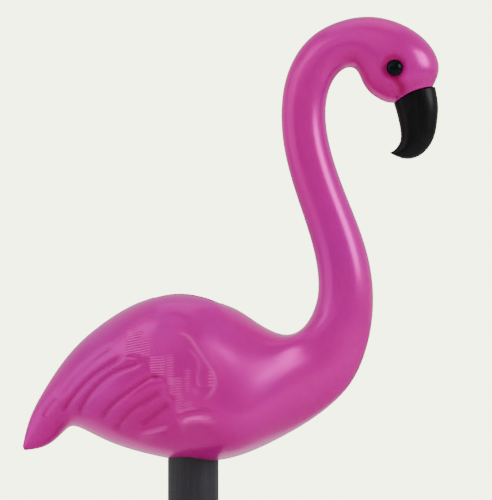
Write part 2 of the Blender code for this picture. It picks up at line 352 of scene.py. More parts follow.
@dataclass(frozen=True)
class PearlPlastic:
    """Pink plastic with a fine pearl in it, moulded to a satin skin."""

    pink: Colour = (0.68, 0.004, 0.31)
    cool: Colour = (0.62, 0.008, 0.37)  # where the pearl lies thick
    carving_shade: Colour = (0.36, 0.0005, 0.085)  # painted shade in the bottoms of the carving and in the dish about the eye
    underside_shade: Colour = (0.50, 0.002, 0.20)  # painted shade on the underside, where the surface faces down
    painted_highlight_colour: Colour = (1.0, 0.06, 0.50)  # painted highlight along the raised edges and the barbs
    sheen: Colour = (1.0, 0.22, 0.78)  # of what it mirrors
    pearl: float = 0.26
    roughness: float = 0.25
    flow_size: float = 45 * MM  # of the drifts in which the pearl lies thick
    cloud_size: float = 9 * MM
    flake_size: float = 0.22 * MM
    skin_size: float = 0.9 * MM  # of the ripple in the skin
    skin_depth: float = 0.02 * MM

    def material(self) -> bpy.types.Material:
        """Builds the material.

        Returns:
            The material.
        """
        surface = Surface("pink_plastic")
        flow = surface.noise(self.flow_size, 2.0, (1.0, 1.0, 0.5))
        cloud = surface.noise(self.cloud_size, 4.0)
        flake = surface.flakes(self.flake_size)
        skin = surface.noise(self.skin_size, 2.0)
        # Painted shade in the carving and about the eye, carried on the mesh.
        painted_shade = surface.painted("painted_shade")
        # Painted highlight along the raised edges and the barbs, carried on the mesh.
        painted_highlight = surface.painted("painted_highlight")
        colour = surface.mix(flow.between(0.35, 0.7), self.pink, self.cool)
        bright = tuple(c * 1.15 for c in self.pink)
        colour = surface.mix(cloud.between(0.3, 0.9) * 0.3 + flake * 0.05, colour, bright)
        # Painted shade: the colour darkens towards the underside colour where the surface faces down.
        under = surface.axis(surface.place("Normal"), "Z") * -1.0
        colour = surface.mix(under.between(-0.1, 0.7) * 0.7, colour, self.underside_shade)
        # Painted shade: darker in the grooves, the lore and the dish about the eye.
        colour = surface.mix(painted_shade, colour, self.carving_shade)
        # Painted highlight: lighter pink along the raised edges and the barbs.
        colour = surface.mix(painted_highlight, colour, self.painted_highlight_colour)
        rough = self.roughness - 0.04 + cloud * 0.06 + flake * 0.02 + painted_shade * 0.12
        relief = skin * 0.6 + flake * 0.05 + cloud * 0.35
        return surface.dress({
            "Base Color": colour,
            "Roughness": rough,
            "Metallic": (self.pearl + flake * 0.04) * (1 - painted_shade * 0.6),
            "Normal": surface.bump(relief, self.skin_depth),
            "Specular Tint": self.sheen,
            "Specular IOR Level": 0.4,
            "Subsurface Weight": 0.12,
            "Subsurface Radius": (1.0, 0.25, 0.6),
            "Subsurface Scale": 2.0 * MM,
        })


@dataclass(frozen=True)
class BlackPlastic:
    """Black plastic with faint flow streaks along the moulding."""

    slot: str = "black_plastic"
    black: Colour = (0.0025, 0.0025, 0.0025)
    grey: Colour = (0.006, 0.006, 0.006)
    roughness: float = 0.30
    streak_size: float = 1.1 * MM  # across the streaks
    cloud_size: float = 6 * MM
    grain_size: float = 0.25 * MM
    grain_depth: float = 0.03 * MM

    def material(self) -> bpy.types.Material:
        """Builds the material.

        Returns:
            The material.
        """
        surface = Surface(self.slot)
        streak = surface.noise(self.streak_size, 3.0, (1.0, 1.0, 0.08))
        cloud = surface.noise(self.cloud_size, 3.0)
        grain = surface.noise(self.grain_size, 2.0)
        colour = surface.mix(streak.between(0.35, 0.75) * 0.7, self.black, self.grey)
        rough = self.roughness - 0.05 + streak * 0.1 + cloud * 0.06
        relief = streak * 0.7 + grain * 0.3
        return surface.dress({
            "Base Color": colour,
            "Roughness": rough,
            "Normal": surface.bump(relief, self.grain_depth),
            "Specular IOR Level": 0.16,
        })


@dataclass(frozen=True)
class BeadGlaze:
    """The polished black of the bead eyes, with the faintest ripple."""

    slot: str = "eye_bead"
    black: Colour = (0.0012, 0.0012, 0.0014)
    sheen: Colour = (0.002, 0.005, 0.006)
    gloss: Colour = (0.75, 1.0, 1.0)  # of what it mirrors
    roughness: float = 0.24
    ripple_size: float = 1.6 * MM
    ripple_depth: float = 0.02 * MM
    dust_size: float = 0.12 * MM

    def material(self) -> bpy.types.Material:
        """Builds the material.

        Returns:
            The material.
        """
        surface = Surface(self.slot)
        ripple = surface.noise(self.ripple_size, 2.0)
        dust = surface.flakes(self.dust_size).between(0.93, 1.0)
        colour = surface.mix(ripple.between(0.4, 0.7), self.black, self.sheen)
        return surface.dress({
            "Base Color": colour,
            "Roughness": self.roughness + dust * 0.15 + ripple * 0.03,
            "Normal": surface.bump(ripple, self.ripple_depth),
            "Specular IOR Level": 0.13,
            "Specular Tint": self.gloss,
        })


@dataclass(frozen=True)
class PolePlastic:
    """Dark grey plastic tube with draw lines along it and soil marks near the ground."""

    slot: str = "pole_plastic"
    grey: Colour = (0.026, 0.024, 0.028)
    scuff: Colour = (0.042, 0.039, 0.043)
    soil: Colour = (0.06, 0.045, 0.032)
    roughness: float = 0.46
    soil_top: float = 45 * MM
    draw_size: float = 0.7 * MM  # across the draw lines
    cloud_size: float = 14 * MM
    grain_size: float = 0.35 * MM
    grain_depth: float = 0.05 * MM
    speck_size: float = 2.2 * MM

    def material(self) -> bpy.types.Material:
        """Builds the material.

        Returns:
            The material.
        """
        surface = Surface(self.slot)
        draw = surface.noise(self.draw_size, 3.0, (1.0, 1.0, 0.02))
        cloud = surface.noise(self.cloud_size, 4.0, (1.0, 1.0, 0.4))
        grain = surface.noise(self.grain_size, 2.0)
        specks = surface.noise(self.speck_size, 5.0)
        colour = surface.mix(draw.between(0.4, 0.8) * 0.5, self.grey, self.scuff)
        low = 1 - surface.axis(surface.place("Object"), "Z").between(0.0, self.soil_top)
        dirt = low * specks.between(0.45, 0.7) * 0.6
        colour = surface.mix(dirt, colour, self.soil)
        rough = self.roughness - 0.05 + cloud * 0.1 + grain * 0.05 + dirt * 0.3
        return surface.dress({
            "Base Color": colour,
            "Roughness": rough,
            "Normal": surface.bump(draw * 0.6 + grain * 0.4, self.grain_depth),
            "Specular IOR Level": 0.25,
        })


@dataclass(frozen=True)
class TrayPlastic:
    """The black frame that holds the solar cells."""

    dark: Colour = (0.010, 0.010, 0.012)
    light: Colour = (0.022, 0.022, 0.025)
    roughness: float = 0.4
    grain_size: float = 0.3 * MM
    grain_depth: float = 0.04 * MM
    cloud_size: float = 5 * MM

    def material(self) -> bpy.types.Material:
        """Builds the material.

        Returns:
            The material.
        """
        surface = Surface("panel_tray")
        grain = surface.noise(self.grain_size, 3.0)
        cloud = surface.noise(self.cloud_size, 3.0)
        colour = surface.mix(cloud.between(0.3, 0.8), self.dark, self.light)
        return surface.dress({
            "Base Color": colour,
            "Roughness": self.roughness - 0.05 + cloud * 0.12,
            "Normal": surface.bump(grain, self.grain_depth),
        })


@dataclass(frozen=True)
class Silicon:
    """Blue-black silicon in crystal patches."""

    slot: str = "solar_cell"
    crystal: Colour = (0.022, 0.045, 0.14)
    patch_size: float = 1.9 * MM
    grain_size: float = 0.4 * MM
    grain_depth: float = 0.01 * MM

    def material(self) -> bpy.types.Material:
        """Builds the material.

        Returns:
            The material.
        """
        surface = Surface(self.slot)
        patch = surface.flakes(self.patch_size)
        grain = surface.noise(self.grain_size, 3.0)
        colour = surface.mix(patch * 0.8, slot_colour(self.slot), self.crystal)
        return surface.dress({
            "Base Color": colour,
            "Roughness": 0.22 + patch * 0.15 + grain * 0.05,
            "Metallic": 0.25 + patch * 0.3,
            "Normal": surface.bump(grain * 0.3 + patch * 0.7, self.grain_depth),
        })


@dataclass(frozen=True)
class SilverPrint:
    """The silver lines printed on the cells."""

    dull: Colour = (0.45, 0.46, 0.47)
    bright: Colour = (0.66, 0.67, 0.68)
    grain_size: float = 0.2 * MM
    grain_depth: float = 0.01 * MM

    def material(self) -> bpy.types.Material:
        """Builds the material.

        Returns:
            The material.
        """
        surface = Surface("silver_print")
        grain = surface.noise(self.grain_size, 3.0)
        colour = surface.mix(grain.between(0.3, 0.8), self.dull, self.bright)
        return surface.dress({
            "Base Color": colour,
            "Roughness": 0.3 + grain * 0.2,
            "Metallic": 0.9,
            "Normal": surface.bump(grain, self.grain_depth),
        })


@dataclass(frozen=True)
class ClearResin:
    """The clear resin poured over the cells."""

    tint: Colour = (0.93, 0.96, 1.0)
    clear: Colour = (1.0, 1.0, 1.0)
    ripple_size: float = 4 * MM
    ripple_depth: float = 0.05 * MM

    def material(self) -> bpy.types.Material:
        """Builds the material.

        Returns:
            The material.
        """
        surface = Surface("clear_resin")
        ripple = surface.noise(self.ripple_size, 2.0)
        return surface.dress({
            "Base Color": surface.mix(ripple, self.tint, self.clear),
            "Roughness": 0.04 + ripple * 0.04,
            "Normal": surface.bump(ripple, self.ripple_depth),
            "Transmission Weight": 1.0,
            "IOR": 1.5,
        })


@dataclass(frozen=True)
class PaleFloor:
    """The studio's pale floor."""

    colour: Colour = (0.86, 0.86, 0.83)
    cloud_size: float = 0.6
    grain_size: float = 3 * MM
    grain_depth: float = 0.1 * MM

    def material(self) -> bpy.types.Material:
        """Builds the material.

        Returns:
            The material.
        """
        surface = Surface("pale_floor")
        cloud = surface.noise(self.cloud_size, 3.0)
        grain = surface.noise(self.grain_size, 3.0)
        darker = tuple(c * 0.96 for c in self.colour)
        return surface.dress({
            "Base Color": surface.mix(cloud, darker, self.colour),
            "Roughness": 0.75 + grain * 0.1,
            "Normal": surface.bump(grain, self.grain_depth),
        })


Finish = (
    PearlPlastic | BlackPlastic | BeadGlaze | PolePlastic | TrayPlastic | Silicon | SilverPrint | ClearResin
)


# Meshes


def object_from(name: str, mesh: bmesh.types.BMesh) -> bpy.types.Object:
    """An object of the mesh, linked to the scene, with its faces pointing out and shaded smooth.

    Args:
        name: the object's name.
        mesh: the mesh, which is freed.

    Returns:
        The object.
    """
    bmesh.ops.recalc_face_normals(mesh, faces=mesh.faces)
    data = bpy.data.meshes.new(name)
    mesh.to_mesh(data)
    mesh.free()
    data.shade_smooth()
    made = bpy.data.objects.new(name, data)
    bpy.context.scene.collection.objects.link(made)
    return made


def ring_mesh(rings: Sequence[np.ndarray]) -> bmesh.types.BMesh:
    """A closed skin over rings of points, with a fan at both ends.

    Args:
        rings: arrays of points, each as many as the last one's, or twice, or half as many.

    Returns:
        The mesh.
    """
    mesh = bmesh.new()
    rows = [[mesh.verts.new(point) for point in ring] for ring in rings]
    for near, far in zip(rows, rows[1:]):
        if len(near) == len(far):
            for k in range(len(near)):
                j = (k + 1) % len(near)
                mesh.faces.new((near[k], near[j], far[j], far[k]))
        else:
            step_between(mesh, *sorted((near, far), key=len))
    for ring, row in ((rings[0], rows[0]), (rings[-1], rows[-1])):
        hub = mesh.verts.new(ring.mean(axis=0))
        for k in range(len(row)):
            mesh.faces.new((row[k], row[(k + 1) % len(row)], hub))
    return mesh


def step_between(mesh: bmesh.types.BMesh, coarse: list, fine: list) -> None:
    """Joins a ring to one that has twice as many points.

    Args:
        mesh: the mesh that the faces go into.
        coarse: the corners of the ring with fewer points.
        fine: the corners of the other ring.
    """
    count = len(coarse)
    for k in range(count):
        j = (k + 1) % count
        start, middle, end = fine[2 * k], fine[2 * k + 1], fine[(2 * k + 2) % len(fine)]
        mesh.faces.new((start, middle, coarse[k]))
        mesh.faces.new((middle, end, coarse[j]))
        mesh.faces.new((middle, coarse[j], coarse[k]))


def turned(name: str, profile: Sequence[Place], sides: int, turn: Matrix) -> bpy.types.Object:
    """A solid turned about its own Z.

    Args:
        name: the piece's name.
        profile: (radius, height) points, from the top of the axis down to its foot.
        sides: how many sides the round has.
        turn: puts the solid in place.

    Returns:
        The solid.
    """
    angles = np.linspace(0, 2 * math.pi, sides, endpoint=False)
    rings = []
    for radius, height in profile[1:-1]:
        level = np.full(sides, height)
        rings.append(np.stack((radius * np.cos(angles), radius * np.sin(angles), level), axis=1))
    mesh = ring_mesh(rings)
    mesh.verts.ensure_lookup_table()
    top, foot = mesh.verts[-2], mesh.verts[-1]
    top.co.z, foot.co.z = profile[0][1], profile[-1][1]
    mesh.transform(turn)
    return object_from(name, mesh)


def rounded_slab(
    name: str, size: Vector, centre: Vector, corner: float, edge: float, turn: Matrix
) -> bpy.types.Object:
    """A slab with rounded corners and softened edges.

    Args:
        name: the piece's name.
        size: its length, width and height.
        centre: its middle, before the turn.
        corner: the radius of its upright corners.
        edge: the radius of its level edges.
        turn: puts the slab in place.

    Returns:
        The slab.
    """
    mesh = bmesh.new()
    bmesh.ops.create_cube(mesh, size=1.0, matrix=Matrix.Translation(centre) @ Matrix.Diagonal((*size, 1.0)))
    upright = [e for e in mesh.edges if abs(e.verts[0].co.z - e.verts[1].co.z) > size.z / 2]
    bmesh.ops.bevel(mesh, geom=upright, offset=corner, segments=8, profile=0.5, affect="EDGES")
    if edge:
        level = [e for e in mesh.edges if abs(e.verts[0].co.z - e.verts[1].co.z) < size.z / 2]
        bmesh.ops.bevel(mesh, geom=level, offset=edge, segments=3, profile=0.5, affect="EDGES")
    mesh.transform(turn)
    made = object_from(name, mesh)
    made.data.set_sharp_from_angle(angle=SHARP)
    return made


def cut(piece: bpy.types.Object, cutters: Iterable[bpy.types.Object]) -> None:
    """Cuts the closed cutters out of the piece, and removes them.

    Args:
        piece: the piece that is cut.
        cutters: closed solids, which are removed.
    """
    for cutter in cutters:
        carve = piece.modifiers.new("carve", "BOOLEAN")
        carve.operation = "DIFFERENCE"
        carve.object = cutter
        carve.solver = "EXACT"
    bpy.context.view_layer.update()
    graph = bpy.context.evaluated_depsgraph_get()
    data = bpy.data.meshes.new_from_object(piece.evaluated_get(graph))
    piece.modifiers.clear()
    piece.data = data
    for cutter in cutters:
        bpy.data.objects.remove(cutter)


def settle(
    piece: bpy.types.Object,
    finish: Finish,
    replaced: Sequence[str] = (),
) -> bpy.types.Object:
    """Dresses a piece and ties it to the frame.

    Args:
        piece: the piece.
        finish: what it is made of.
        replaced: the frame's nodes that it stands for.

    Returns:
        The piece.
    """
    piece.data.materials.clear()
    piece.data.materials.append(finish.material())
    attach(piece, "root")
    if replaced:
        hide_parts(*replaced)
    LOG.info("%s: %d faces", piece.name, len(piece.data.polygons))
    return piece


# The side drawing of the bird


@dataclass(frozen=True)
class Station:
    """A section of the bird or of the beak."""

    back: Place  # on the drawing
    front: Place
    half_width: float
    fullness: float = 2.0  # of the half towards the back
    ridge: float = 0.0  # where it is widest, from -1 at the front to 1 at the back


BIRD_STATIONS = (
    Station((0.1, 3.4), (0.7, 2.5), 0.6),
    Station((1.4, 8.8), (5.8, 3.6), 2.6),
    Station((4.9, 16.3), (10.6, 7.5), 5.2),
    Station((9.1, 22.8), (12.7, 8.3), 7.9),
    Station((16.9, 31.1), (19.2, 5.4), 12.4, 2.1),
    Station((27.1, 37.7), (27.8, 2.3), 16.3, 2.8),
    Station((38.6, 40.4), (39.1, 0.1), 17.8, 3.0),
    Station((49.3, 37.7), (50.4, 0.8), 17.6, 2.4, -0.3),
    Station((57.6, 32.5), (62.1, 5.6), 13.3, 2.5, 0.0),
    Station((63.4, 30.3), (72.5, 12.1), 9.7, 2.7, 0.4),
    Station((66.3, 31.1), (78.7, 18.3), 8.0, 2.5, 0.45),
    Station((68.7, 33.6), (82.6, 26.7), 7.2, 2.0, 0.35),
    Station((70.9, 39.3), (84.3, 37.2), 6.6, 2.0, 0.1),
    Station((70.1, 50.1), (82.8, 50.1), 6.2),
    Station((66.2, 62.8), (77.9, 63.6), 5.7),
    Station((63.0, 74.6), (74.1, 74.8), 5.4),
    Station((62.3, 84.9), (72.9, 83.7), 5.3),
    Station((64.7, 95.4), (74.5, 90.9), 5.4),
    Station((71.0, 103.0), (77.5, 94.1), 5.7),
    Station((80.7, 106.5), (80.2, 93.8), 6.3),
    Station((90.7, 105.0), (82.1, 90.2), 7.0, 2.1),
    Station((98.3, 99.2), (85.1, 87.2), 6.8, 2.2),
    Station((100.0, 93.3), (87.8, 86.0), 5.4, 2.2),
    Station((98.6, 89.7), (89.2, 85.9), 4.3, 2.2),
)
BEAK_STATIONS = (
    Station((99.2, 89.8), (89.2, 85.8), 3.7, 2.2),
    Station((99.9, 85.6), (89.9, 83.6), 3.5, 2.2),
    Station((99.7, 81.5), (90.6, 80.6), 3.2, 2.2),
    Station((98.7, 77.1), (90.9, 78.1), 2.8, 2.2),
    Station((96.7, 74.2), (90.7, 76.6), 2.4, 2.2),
    Station((93.9, 72.6), (90.0, 75.3), 1.9, 2.1),
    Station((91.2, 72.6), (89.2, 74.5), 1.2),
    Station((88.6, 73.7), (88.3, 74.0), 0.3),
)
JOINT_ARCH = 0.9  # how far the beak's root rises into the head at its sides


@dataclass(frozen=True)
class Drawing:
    """Turns places on the side drawing into places in the frame."""

    unit: float
    pole_u: float
    belly_z: float
    span: float = 99.9  # from the tail tip to the forehead
    tail_u: float = 0.1
    lowest_w: float = 0.1

    @classmethod
    def from_frame(cls) -> "Drawing":
        """The drawing at the size and place of the frame's bird.

        Returns:
            The drawing.
        """
        low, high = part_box("flamingo")
        unit = (high.x - low.x) / cls.span
        return cls(unit, cls.tail_u - low.x / unit, low.z - cls.lowest_w * unit)

    def point(self, u: float, w: float) -> np.ndarray:
        """The point of the middle plane at (u, w)."""
        return np.array(((u - self.pole_u) * self.unit, 0.0, self.belly_z + w * self.unit))

    def places(self, points: np.ndarray) -> tuple[np.ndarray, np.ndarray]:
        """The u and w of points in the frame."""
        u = points[..., 0] / self.unit + self.pole_u
        return u, (points[..., 2] - self.belly_z) / self.unit

    def mm(self, units: np.ndarray | float) -> np.ndarray | float:
        """A length on the drawing, in millimetres."""
        return units * self.unit / MM


@dataclass(frozen=True)
class Spread:
    """How the points of half a ring lie between the seam on the back and that on the front."""

    steps: int
    crowd: float = 0.0  # how many more of them lie on the flank than at the seams
    seam_lip: float = 0.22 * MM  # from the seam to the edge of its groove
    seam_side: float = 0.5 * MM  # and to where the even points begin
    side_share: float = 0.1  # the most of the arc that this takes up
    flank: tuple[float, float] = (0.22, 0.79)
    flank_edge: float = 0.05  # share of the arc over which the crowd thins out
    samples: int = 400

    def along(self, arc: float) -> np.ndarray:
        """The distances from the back seam at which the points lie on a half ring of that arc.

        Args:
            arc: the half ring's length.

        Returns:
            The distances, rising from 0 to the arc.
        """
        side = min(self.seam_side, arc * self.side_share)
        lip = side * self.seam_lip / self.seam_side
        shares = np.linspace(0, 1, self.samples)
        before = smooth_step((shares - self.flank[0]) / self.flank_edge)
        dense = before * smooth_step((self.flank[1] - shares) / self.flank_edge)
        weight = np.concatenate(([0.0], np.cumsum(1 + self.crowd * dense[1:])))
        even = np.linspace(0, weight[-1], self.steps - 3)
        middle = side + np.interp(even, weight, shares) * (arc - 2 * side)
        return np.concatenate(([0.0, lip], middle, [arc - lip, arc]))


class Loft:
    """Sections between the line of the back and the line of the front."""

    SAMPLES = 360  # points on half a section, before they are spread

    def __init__(self, stations: Sequence[Station], drawing: Drawing) -> None:
        """Lays the two lines through the stations, at the drawing's size.

        Args:
            stations: the sections, in their order along the form.
            drawing: gives the sections their size and place.
        """
        rows = np.array([(*s.back, *s.front, s.half_width, s.fullness, s.ridge) for s in stations])
        moves = np.diff(rows, axis=0)
        chords = (np.hypot(*moves[:, :2].T) + np.hypot(*moves[:, 2:4].T)) / 2
        knots = np.concatenate(([0.0], np.cumsum(chords)))
        self.drawing = drawing
        self.length = float(knots[-1])
        self.rows = Spline(knots, rows)

    def half_ring(self, place: float, spread: Spread) -> np.ndarray:
        """Points of the right half of the section at a distance along the loft.

        Args:
            place: the distance, in units.
            spread: how the points lie on it.

        Returns:
            The points, from the back seam down the right flank (-Y) to the front seam.
        """
        back_u, back_w, front_u, front_w, half_width, fullness, ridge = self.rows.at(place)
        turn = math.pi * smooth_step(np.linspace(0, 1, self.SAMPLES))
        power = np.where(np.cos(turn) > 0, 2 / fullness, 1.0)
        along = np.sign(np.cos(turn)) * np.abs(np.cos(turn)) ** power
        aside = np.abs(np.sin(turn)) ** power
        aside[-1] = 0.0
        along = along + ridge * (1 - along**2)
        back, front = self.drawing.point(back_u, back_w), self.drawing.point(front_u, front_w)
        dense = (back + front) / 2 + (back - front) / 2 * along[:, None]
        dense[:, 1] = -aside * half_width * self.drawing.unit
        steps = np.linalg.norm(np.diff(dense, axis=0), axis=1)
        arc = np.concatenate(([0.0], np.cumsum(steps)))
        wanted = spread.along(arc[-1])
        return np.stack([np.interp(wanted, arc, dense[:, i]) for i in range(3)], axis=1)


def whole_ring(half: np.ndarray) -> np.ndarray:
    """The half ring and its mirror image, as one ring."""
    left = half[-2:0:-1] * (1.0, -1.0, 1.0)
    return np.concatenate((half, left))


def joint_axis(drawing: Drawing) -> tuple[np.ndarray, np.ndarray]:
    """The middle of the joint between head and beak, and its direction towards the beak's tip.

    Args:
        drawing: gives the joint its size and place.

    Returns:
        The middle, and a direction one metre long.
    """
    end = BIRD_STATIONS[-1]
    back, front = drawing.point(*end.back), drawing.point(*end.front)
    across = (back - front) / np.linalg.norm(back - front)
    return (back + front) / 2, np.array((across[2], 0.0, -across[0]))


def arched(points: np.ndarray, drawing: Drawing, share: float) -> np.ndarray:
    """The ring with its sides raised into the head by a share of the joint's arch.

    Args:
        points: the ring's points.
        drawing: gives the joint its size and place.
        share: how much of the arch, from 0 to 1.

    Returns:
        The moved points.
    """
    to_tip = joint_axis(drawing)[1]
    half_width = BIRD_STATIONS[-1].half_width * drawing.unit
    rise = JOINT_ARCH * drawing.unit * share * (points[:, 1] / half_width) ** 2
    return points - rise[:, None] * to_tip


# Carving of the bird


class Depth(Enum):
    """How deep or high a stroke of the carving is, in millimetres."""

    FAINT = 0.16
    SHALLOW = 0.35
    FULL = 0.85
    DEEP = 1.6


@dataclass(frozen=True)
class Groove:
    """A groove along a stroke, in the bottom of a wider valley between rounded feathers."""

    stroke: Stroke
    depth: Depth
    width: float = 0.9  # of the groove, in millimetres from its middle to where it fades
    valley: float = 2.0  # the same of the valley
    valley_share: float = 0.5  # of the depth
    fade: float = 0.14  # share of the stroke over which either end fades

    def height(self, u: np.ndarray, w: np.ndarray, drawing: Drawing) -> np.ndarray:
        """The groove's relief in millimetres at places of the drawing.

        Args:
            u: how far the places are from the tail tip, in units.
            w: how high they are above the belly, in units.
            drawing: the side drawing, for its scale.

        Returns:
            The relief, below 0 in the groove.
        """
        signed, share = self.stroke.reach(u, w)
        away = drawing.mm(signed)
        ends = faded(share, self.fade)
        form = self.valley_share * bell(away, self.valley) + (1 - self.valley_share) * bell(away, self.width)
        return -self.depth.value * ends * form


@dataclass(frozen=True)
class Lip:
    """A raised edge, high along the left of its stroke and falling back over some millimetres."""

    stroke: Stroke
    depth: Depth
    reach: float = 3.0
    edge: float = 0.7  # half the width of the riser
    gutter: float = 0.3  # the hollow before the riser, as a share of the height
    gutter_at: float = 1.6  # how far before the riser it lies, in edges
    fade: float = 0.2
    painted_highlight_share: float = 0.6  # how strongly a painted highlight lies along its crest
    crest_at: float = 0.4  # how far behind the riser the painted highlight lies, in edges
    crest_width: float = 1.2

    def height(self, u: np.ndarray, w: np.ndarray, drawing: Drawing) -> np.ndarray:
        """The lip's relief in millimetres at places of the drawing.

        Args:
            u: how far the places are from the tail tip, in units.
            w: how high they are above the belly, in units.
            drawing: the side drawing, for its scale.

        Returns:
            The relief, above 0 on the lip.
        """
        signed, share = self.stroke.reach(u, w)
        away = drawing.mm(signed)
        ends = faded(share, self.fade)
        rise = smooth_step(0.5 + away / self.edge / 2)
        inside = np.where(away > 0, bell(away, self.reach), 1.0)
        before = self.gutter * bell(away + self.edge * self.gutter_at, self.edge)
        return self.depth.value * ends * (rise * inside - before)

    def painted_highlight(self, u: np.ndarray, w: np.ndarray, drawing: Drawing) -> np.ndarray:
        """How strongly a painted highlight lies along the lip, at places of the drawing.

        Args:
            u: how far the places are from the tail tip, in units.
            w: how high they are above the belly, in units.
            drawing: the side drawing, for its scale.

        Returns:
            The share from 0 to 1.
        """
        signed, share = self.stroke.reach(u, w)
        ends = faded(share, self.fade)
        behind = drawing.mm(signed) - self.edge * self.crest_at
        return self.painted_highlight_share * ends * bell(behind, self.edge * self.crest_width)


BARB_HEIGHT_MM = 0.12


@dataclass(frozen=True)
class Barbs:
    """A patch of fine parallel barbs on the feathers, between two corners of the drawing."""

    low: Place
    high: Place
    slope: float = 0.2  # how much the barbs climb towards the beak
    pitch: float = 0.6  # between two barbs, in units
    height_mm: float = BARB_HEIGHT_MM
    soft: float = 0.6  # over how many units the patch fades at its edges

    def ridges(self, u: np.ndarray, w: np.ndarray) -> np.ndarray:
        """1 on the barbs, -1 between them and 0 outside the patch, at places of the drawing.

        Args:
            u: how far the places are from the tail tip, in units.
            w: how high they are above the belly, in units.

        Returns:
            The height of the wave at each place.
        """
        mask = smooth_step((u - self.low[0]) / self.soft) * smooth_step((self.high[0] - u) / self.soft)
        mask = mask * smooth_step((w - self.low[1]) / self.soft) * smooth_step((self.high[1] - w) / self.soft)
        return mask * np.cos(2 * math.pi * (w - self.slope * u) / self.pitch)

    def height(self, u: np.ndarray, w: np.ndarray, drawing: Drawing) -> np.ndarray:
        """The barbs' relief in millimetres at places of the drawing."""
        return self.height_mm * self.ridges(u, w)

    def painted_highlight(self, u: np.ndarray, w: np.ndarray, drawing: Drawing) -> np.ndarray:
        """The painted highlight, 1 along the tops of the barbs, at places of the drawing."""
        return np.clip(self.ridges(u, w), 0.0, 1.0) * self.height_mm / BARB_HEIGHT_MM


WING_CENTRE = (25.0, 20.0)
WING_HALF_LENGTH = 23.5
WING_HALF_HEIGHT = 11.4
WING_SLOPE = math.radians(18.5)
WING_HEIGHT = 0.75  # in units
WING_EDGE = 0.35  # share of the half size over which the wing's edge rises, below
WING_TOP_EDGE = 1.0  # and where it runs softly into the back and the breast
WING_SOFT_ABOVE = -0.2  # share of the half height above which the edge turns soft
WING_SOFT_AHEAD = (0.1, 0.6)  # share of the half length where it does so, and over how much
WING_TAIL_FADE = 0.5  # share of the half length over which the wing sinks in towards the tail

FEATHERS = (
    Groove(Stroke(((25.3, 25.8), (21.6, 23.7), (17.0, 20.4), (13.6, 16.8), (11.4, 13.8), (10.2, 11.3))),
           Depth.FULL),
    Groove(Stroke(((30.0, 24.5), (26.2, 23.0), (22.2, 21.4), (18.3, 18.2), (15.3, 14.2), (14.2, 10.9))),
           Depth.FULL),
    Groove(Stroke(((34.2, 20.2), (31.8, 20.7), (28.4, 18.7), (23.5, 15.0), (21.0, 12.4), (19.4, 9.9))),
           Depth.FULL),
    Groove(Stroke(((34.6, 17.8), (31.4, 15.9), (28.4, 13.8), (25.9, 11.8), (24.3, 9.7), (22.4, 7.7))),
           Depth.FULL),
    Groove(Stroke(((36.2, 14.5), (33.3, 12.4), (31.1, 10.4), (28.7, 8.5))), Depth.FULL),
    Groove(Stroke(((8.8, 15.4), (6.9, 13.1), (5.2, 10.7))), Depth.SHALLOW),
    Groove(Stroke(((22.4, 28.2), (19.1, 26.0), (15.5, 22.8), (12.4, 19.2), (9.6, 15.0))), Depth.SHALLOW),
    Groove(Stroke(((18.0, 28.4), (14.2, 24.8), (10.6, 20.4), (7.8, 16.0))), Depth.FAINT),
)
FEATHER_TIPS = (
    Groove(Stroke(((25.0, 25.6), (27.4, 25.3), (29.4, 24.7), (30.5, 23.3), (31.3, 21.6), (32.6, 20.7),
                   (34.6, 20.1), (35.2, 18.3), (35.4, 16.4), (36.6, 15.3), (36.9, 13.6))),
           Depth.SHALLOW, width=0.5, valley=1.2, fade=0.08),
)
WING_LIPS = (
    Lip(Stroke(((36.9, 31.0), (39.8, 30.2), (41.9, 27.8), (44.0, 24.6), (46.1, 21.4), (46.3, 18.6),
                (45.0, 16.5), (43.2, 15.4))), Depth.SHALLOW, edge=0.6, painted_highlight_share=0.8),
    Lip(Stroke(((39.5, 27.4), (42.2, 25.0), (42.4, 22.0), (42.3, 19.6), (43.0, 18.2))),
        Depth.SHALLOW, reach=1.8, edge=0.5, painted_highlight_share=0.5),
    Lip(Stroke(((47.6, 10.6), (43.8, 11.1), (40.4, 10.8), (37.0, 9.8))), Depth.DEEP,
        reach=4.5, edge=1.3, fade=0.3),
    Lip(Stroke(((36.2, 9.2), (33.4, 8.3), (30.6, 7.5), (27.4, 6.9))), Depth.FULL,
        reach=2.6, edge=0.7, fade=0.4),
)
WING_CREASES = (
    Groove(Stroke(((33.0, 32.6), (36.4, 32.2), (40.0, 31.7), (43.6, 30.6))), Depth.FAINT, width=1.2,
           valley=2.4),
)
BARB_PATCHES = (
    Barbs((25.4, 26.0), (29.5, 31.8)),
    Barbs((28.9, 25.4), (31.4, 30.0), height_mm=0.1),
    Barbs((30.9, 20.9), (35.2, 26.0), slope=0.08),
    Barbs((34.9, 18.6), (37.0, 26.2), slope=0.12),
    Barbs((35.4, 16.3), (38.8, 20.9), slope=0.16),
    Barbs((36.8, 12.0), (39.2, 17.0), slope=0.26),
    Barbs((39.0, 12.9), (41.6, 15.3), slope=0.26, height_mm=0.1),
    Barbs((39.2, 17.0), (40.9, 22.9), slope=0.0, height_mm=0.1),
    Barbs((40.7, 16.4), (43.0, 18.4), slope=0.5, height_mm=0.1),
    Barbs((44.6, 18.0), (46.4, 22.3), slope=0.1, pitch=0.79, height_mm=0.18),
)
LAST_BARB = Lip(Stroke(((42.6, 13.5), (39.8, 13.0), (37.2, 12.2))), Depth.FAINT, reach=0.5, edge=0.3)
LORE = Groove(Stroke(((88.6, 92.8), (89.7, 91.0), (90.7, 89.4), (91.2, 87.2))), Depth.FULL, width=1.4,
              valley=2.4, fade=0.15)
DISH_AT = (88.8, 94.4)
DISH_RADIUS = 3.5
DISH_DEPTH_MM = 1.4
DISH_EDGE = (1.08, 0.62)  # share of the radius where the hollow starts, and over how much it deepens
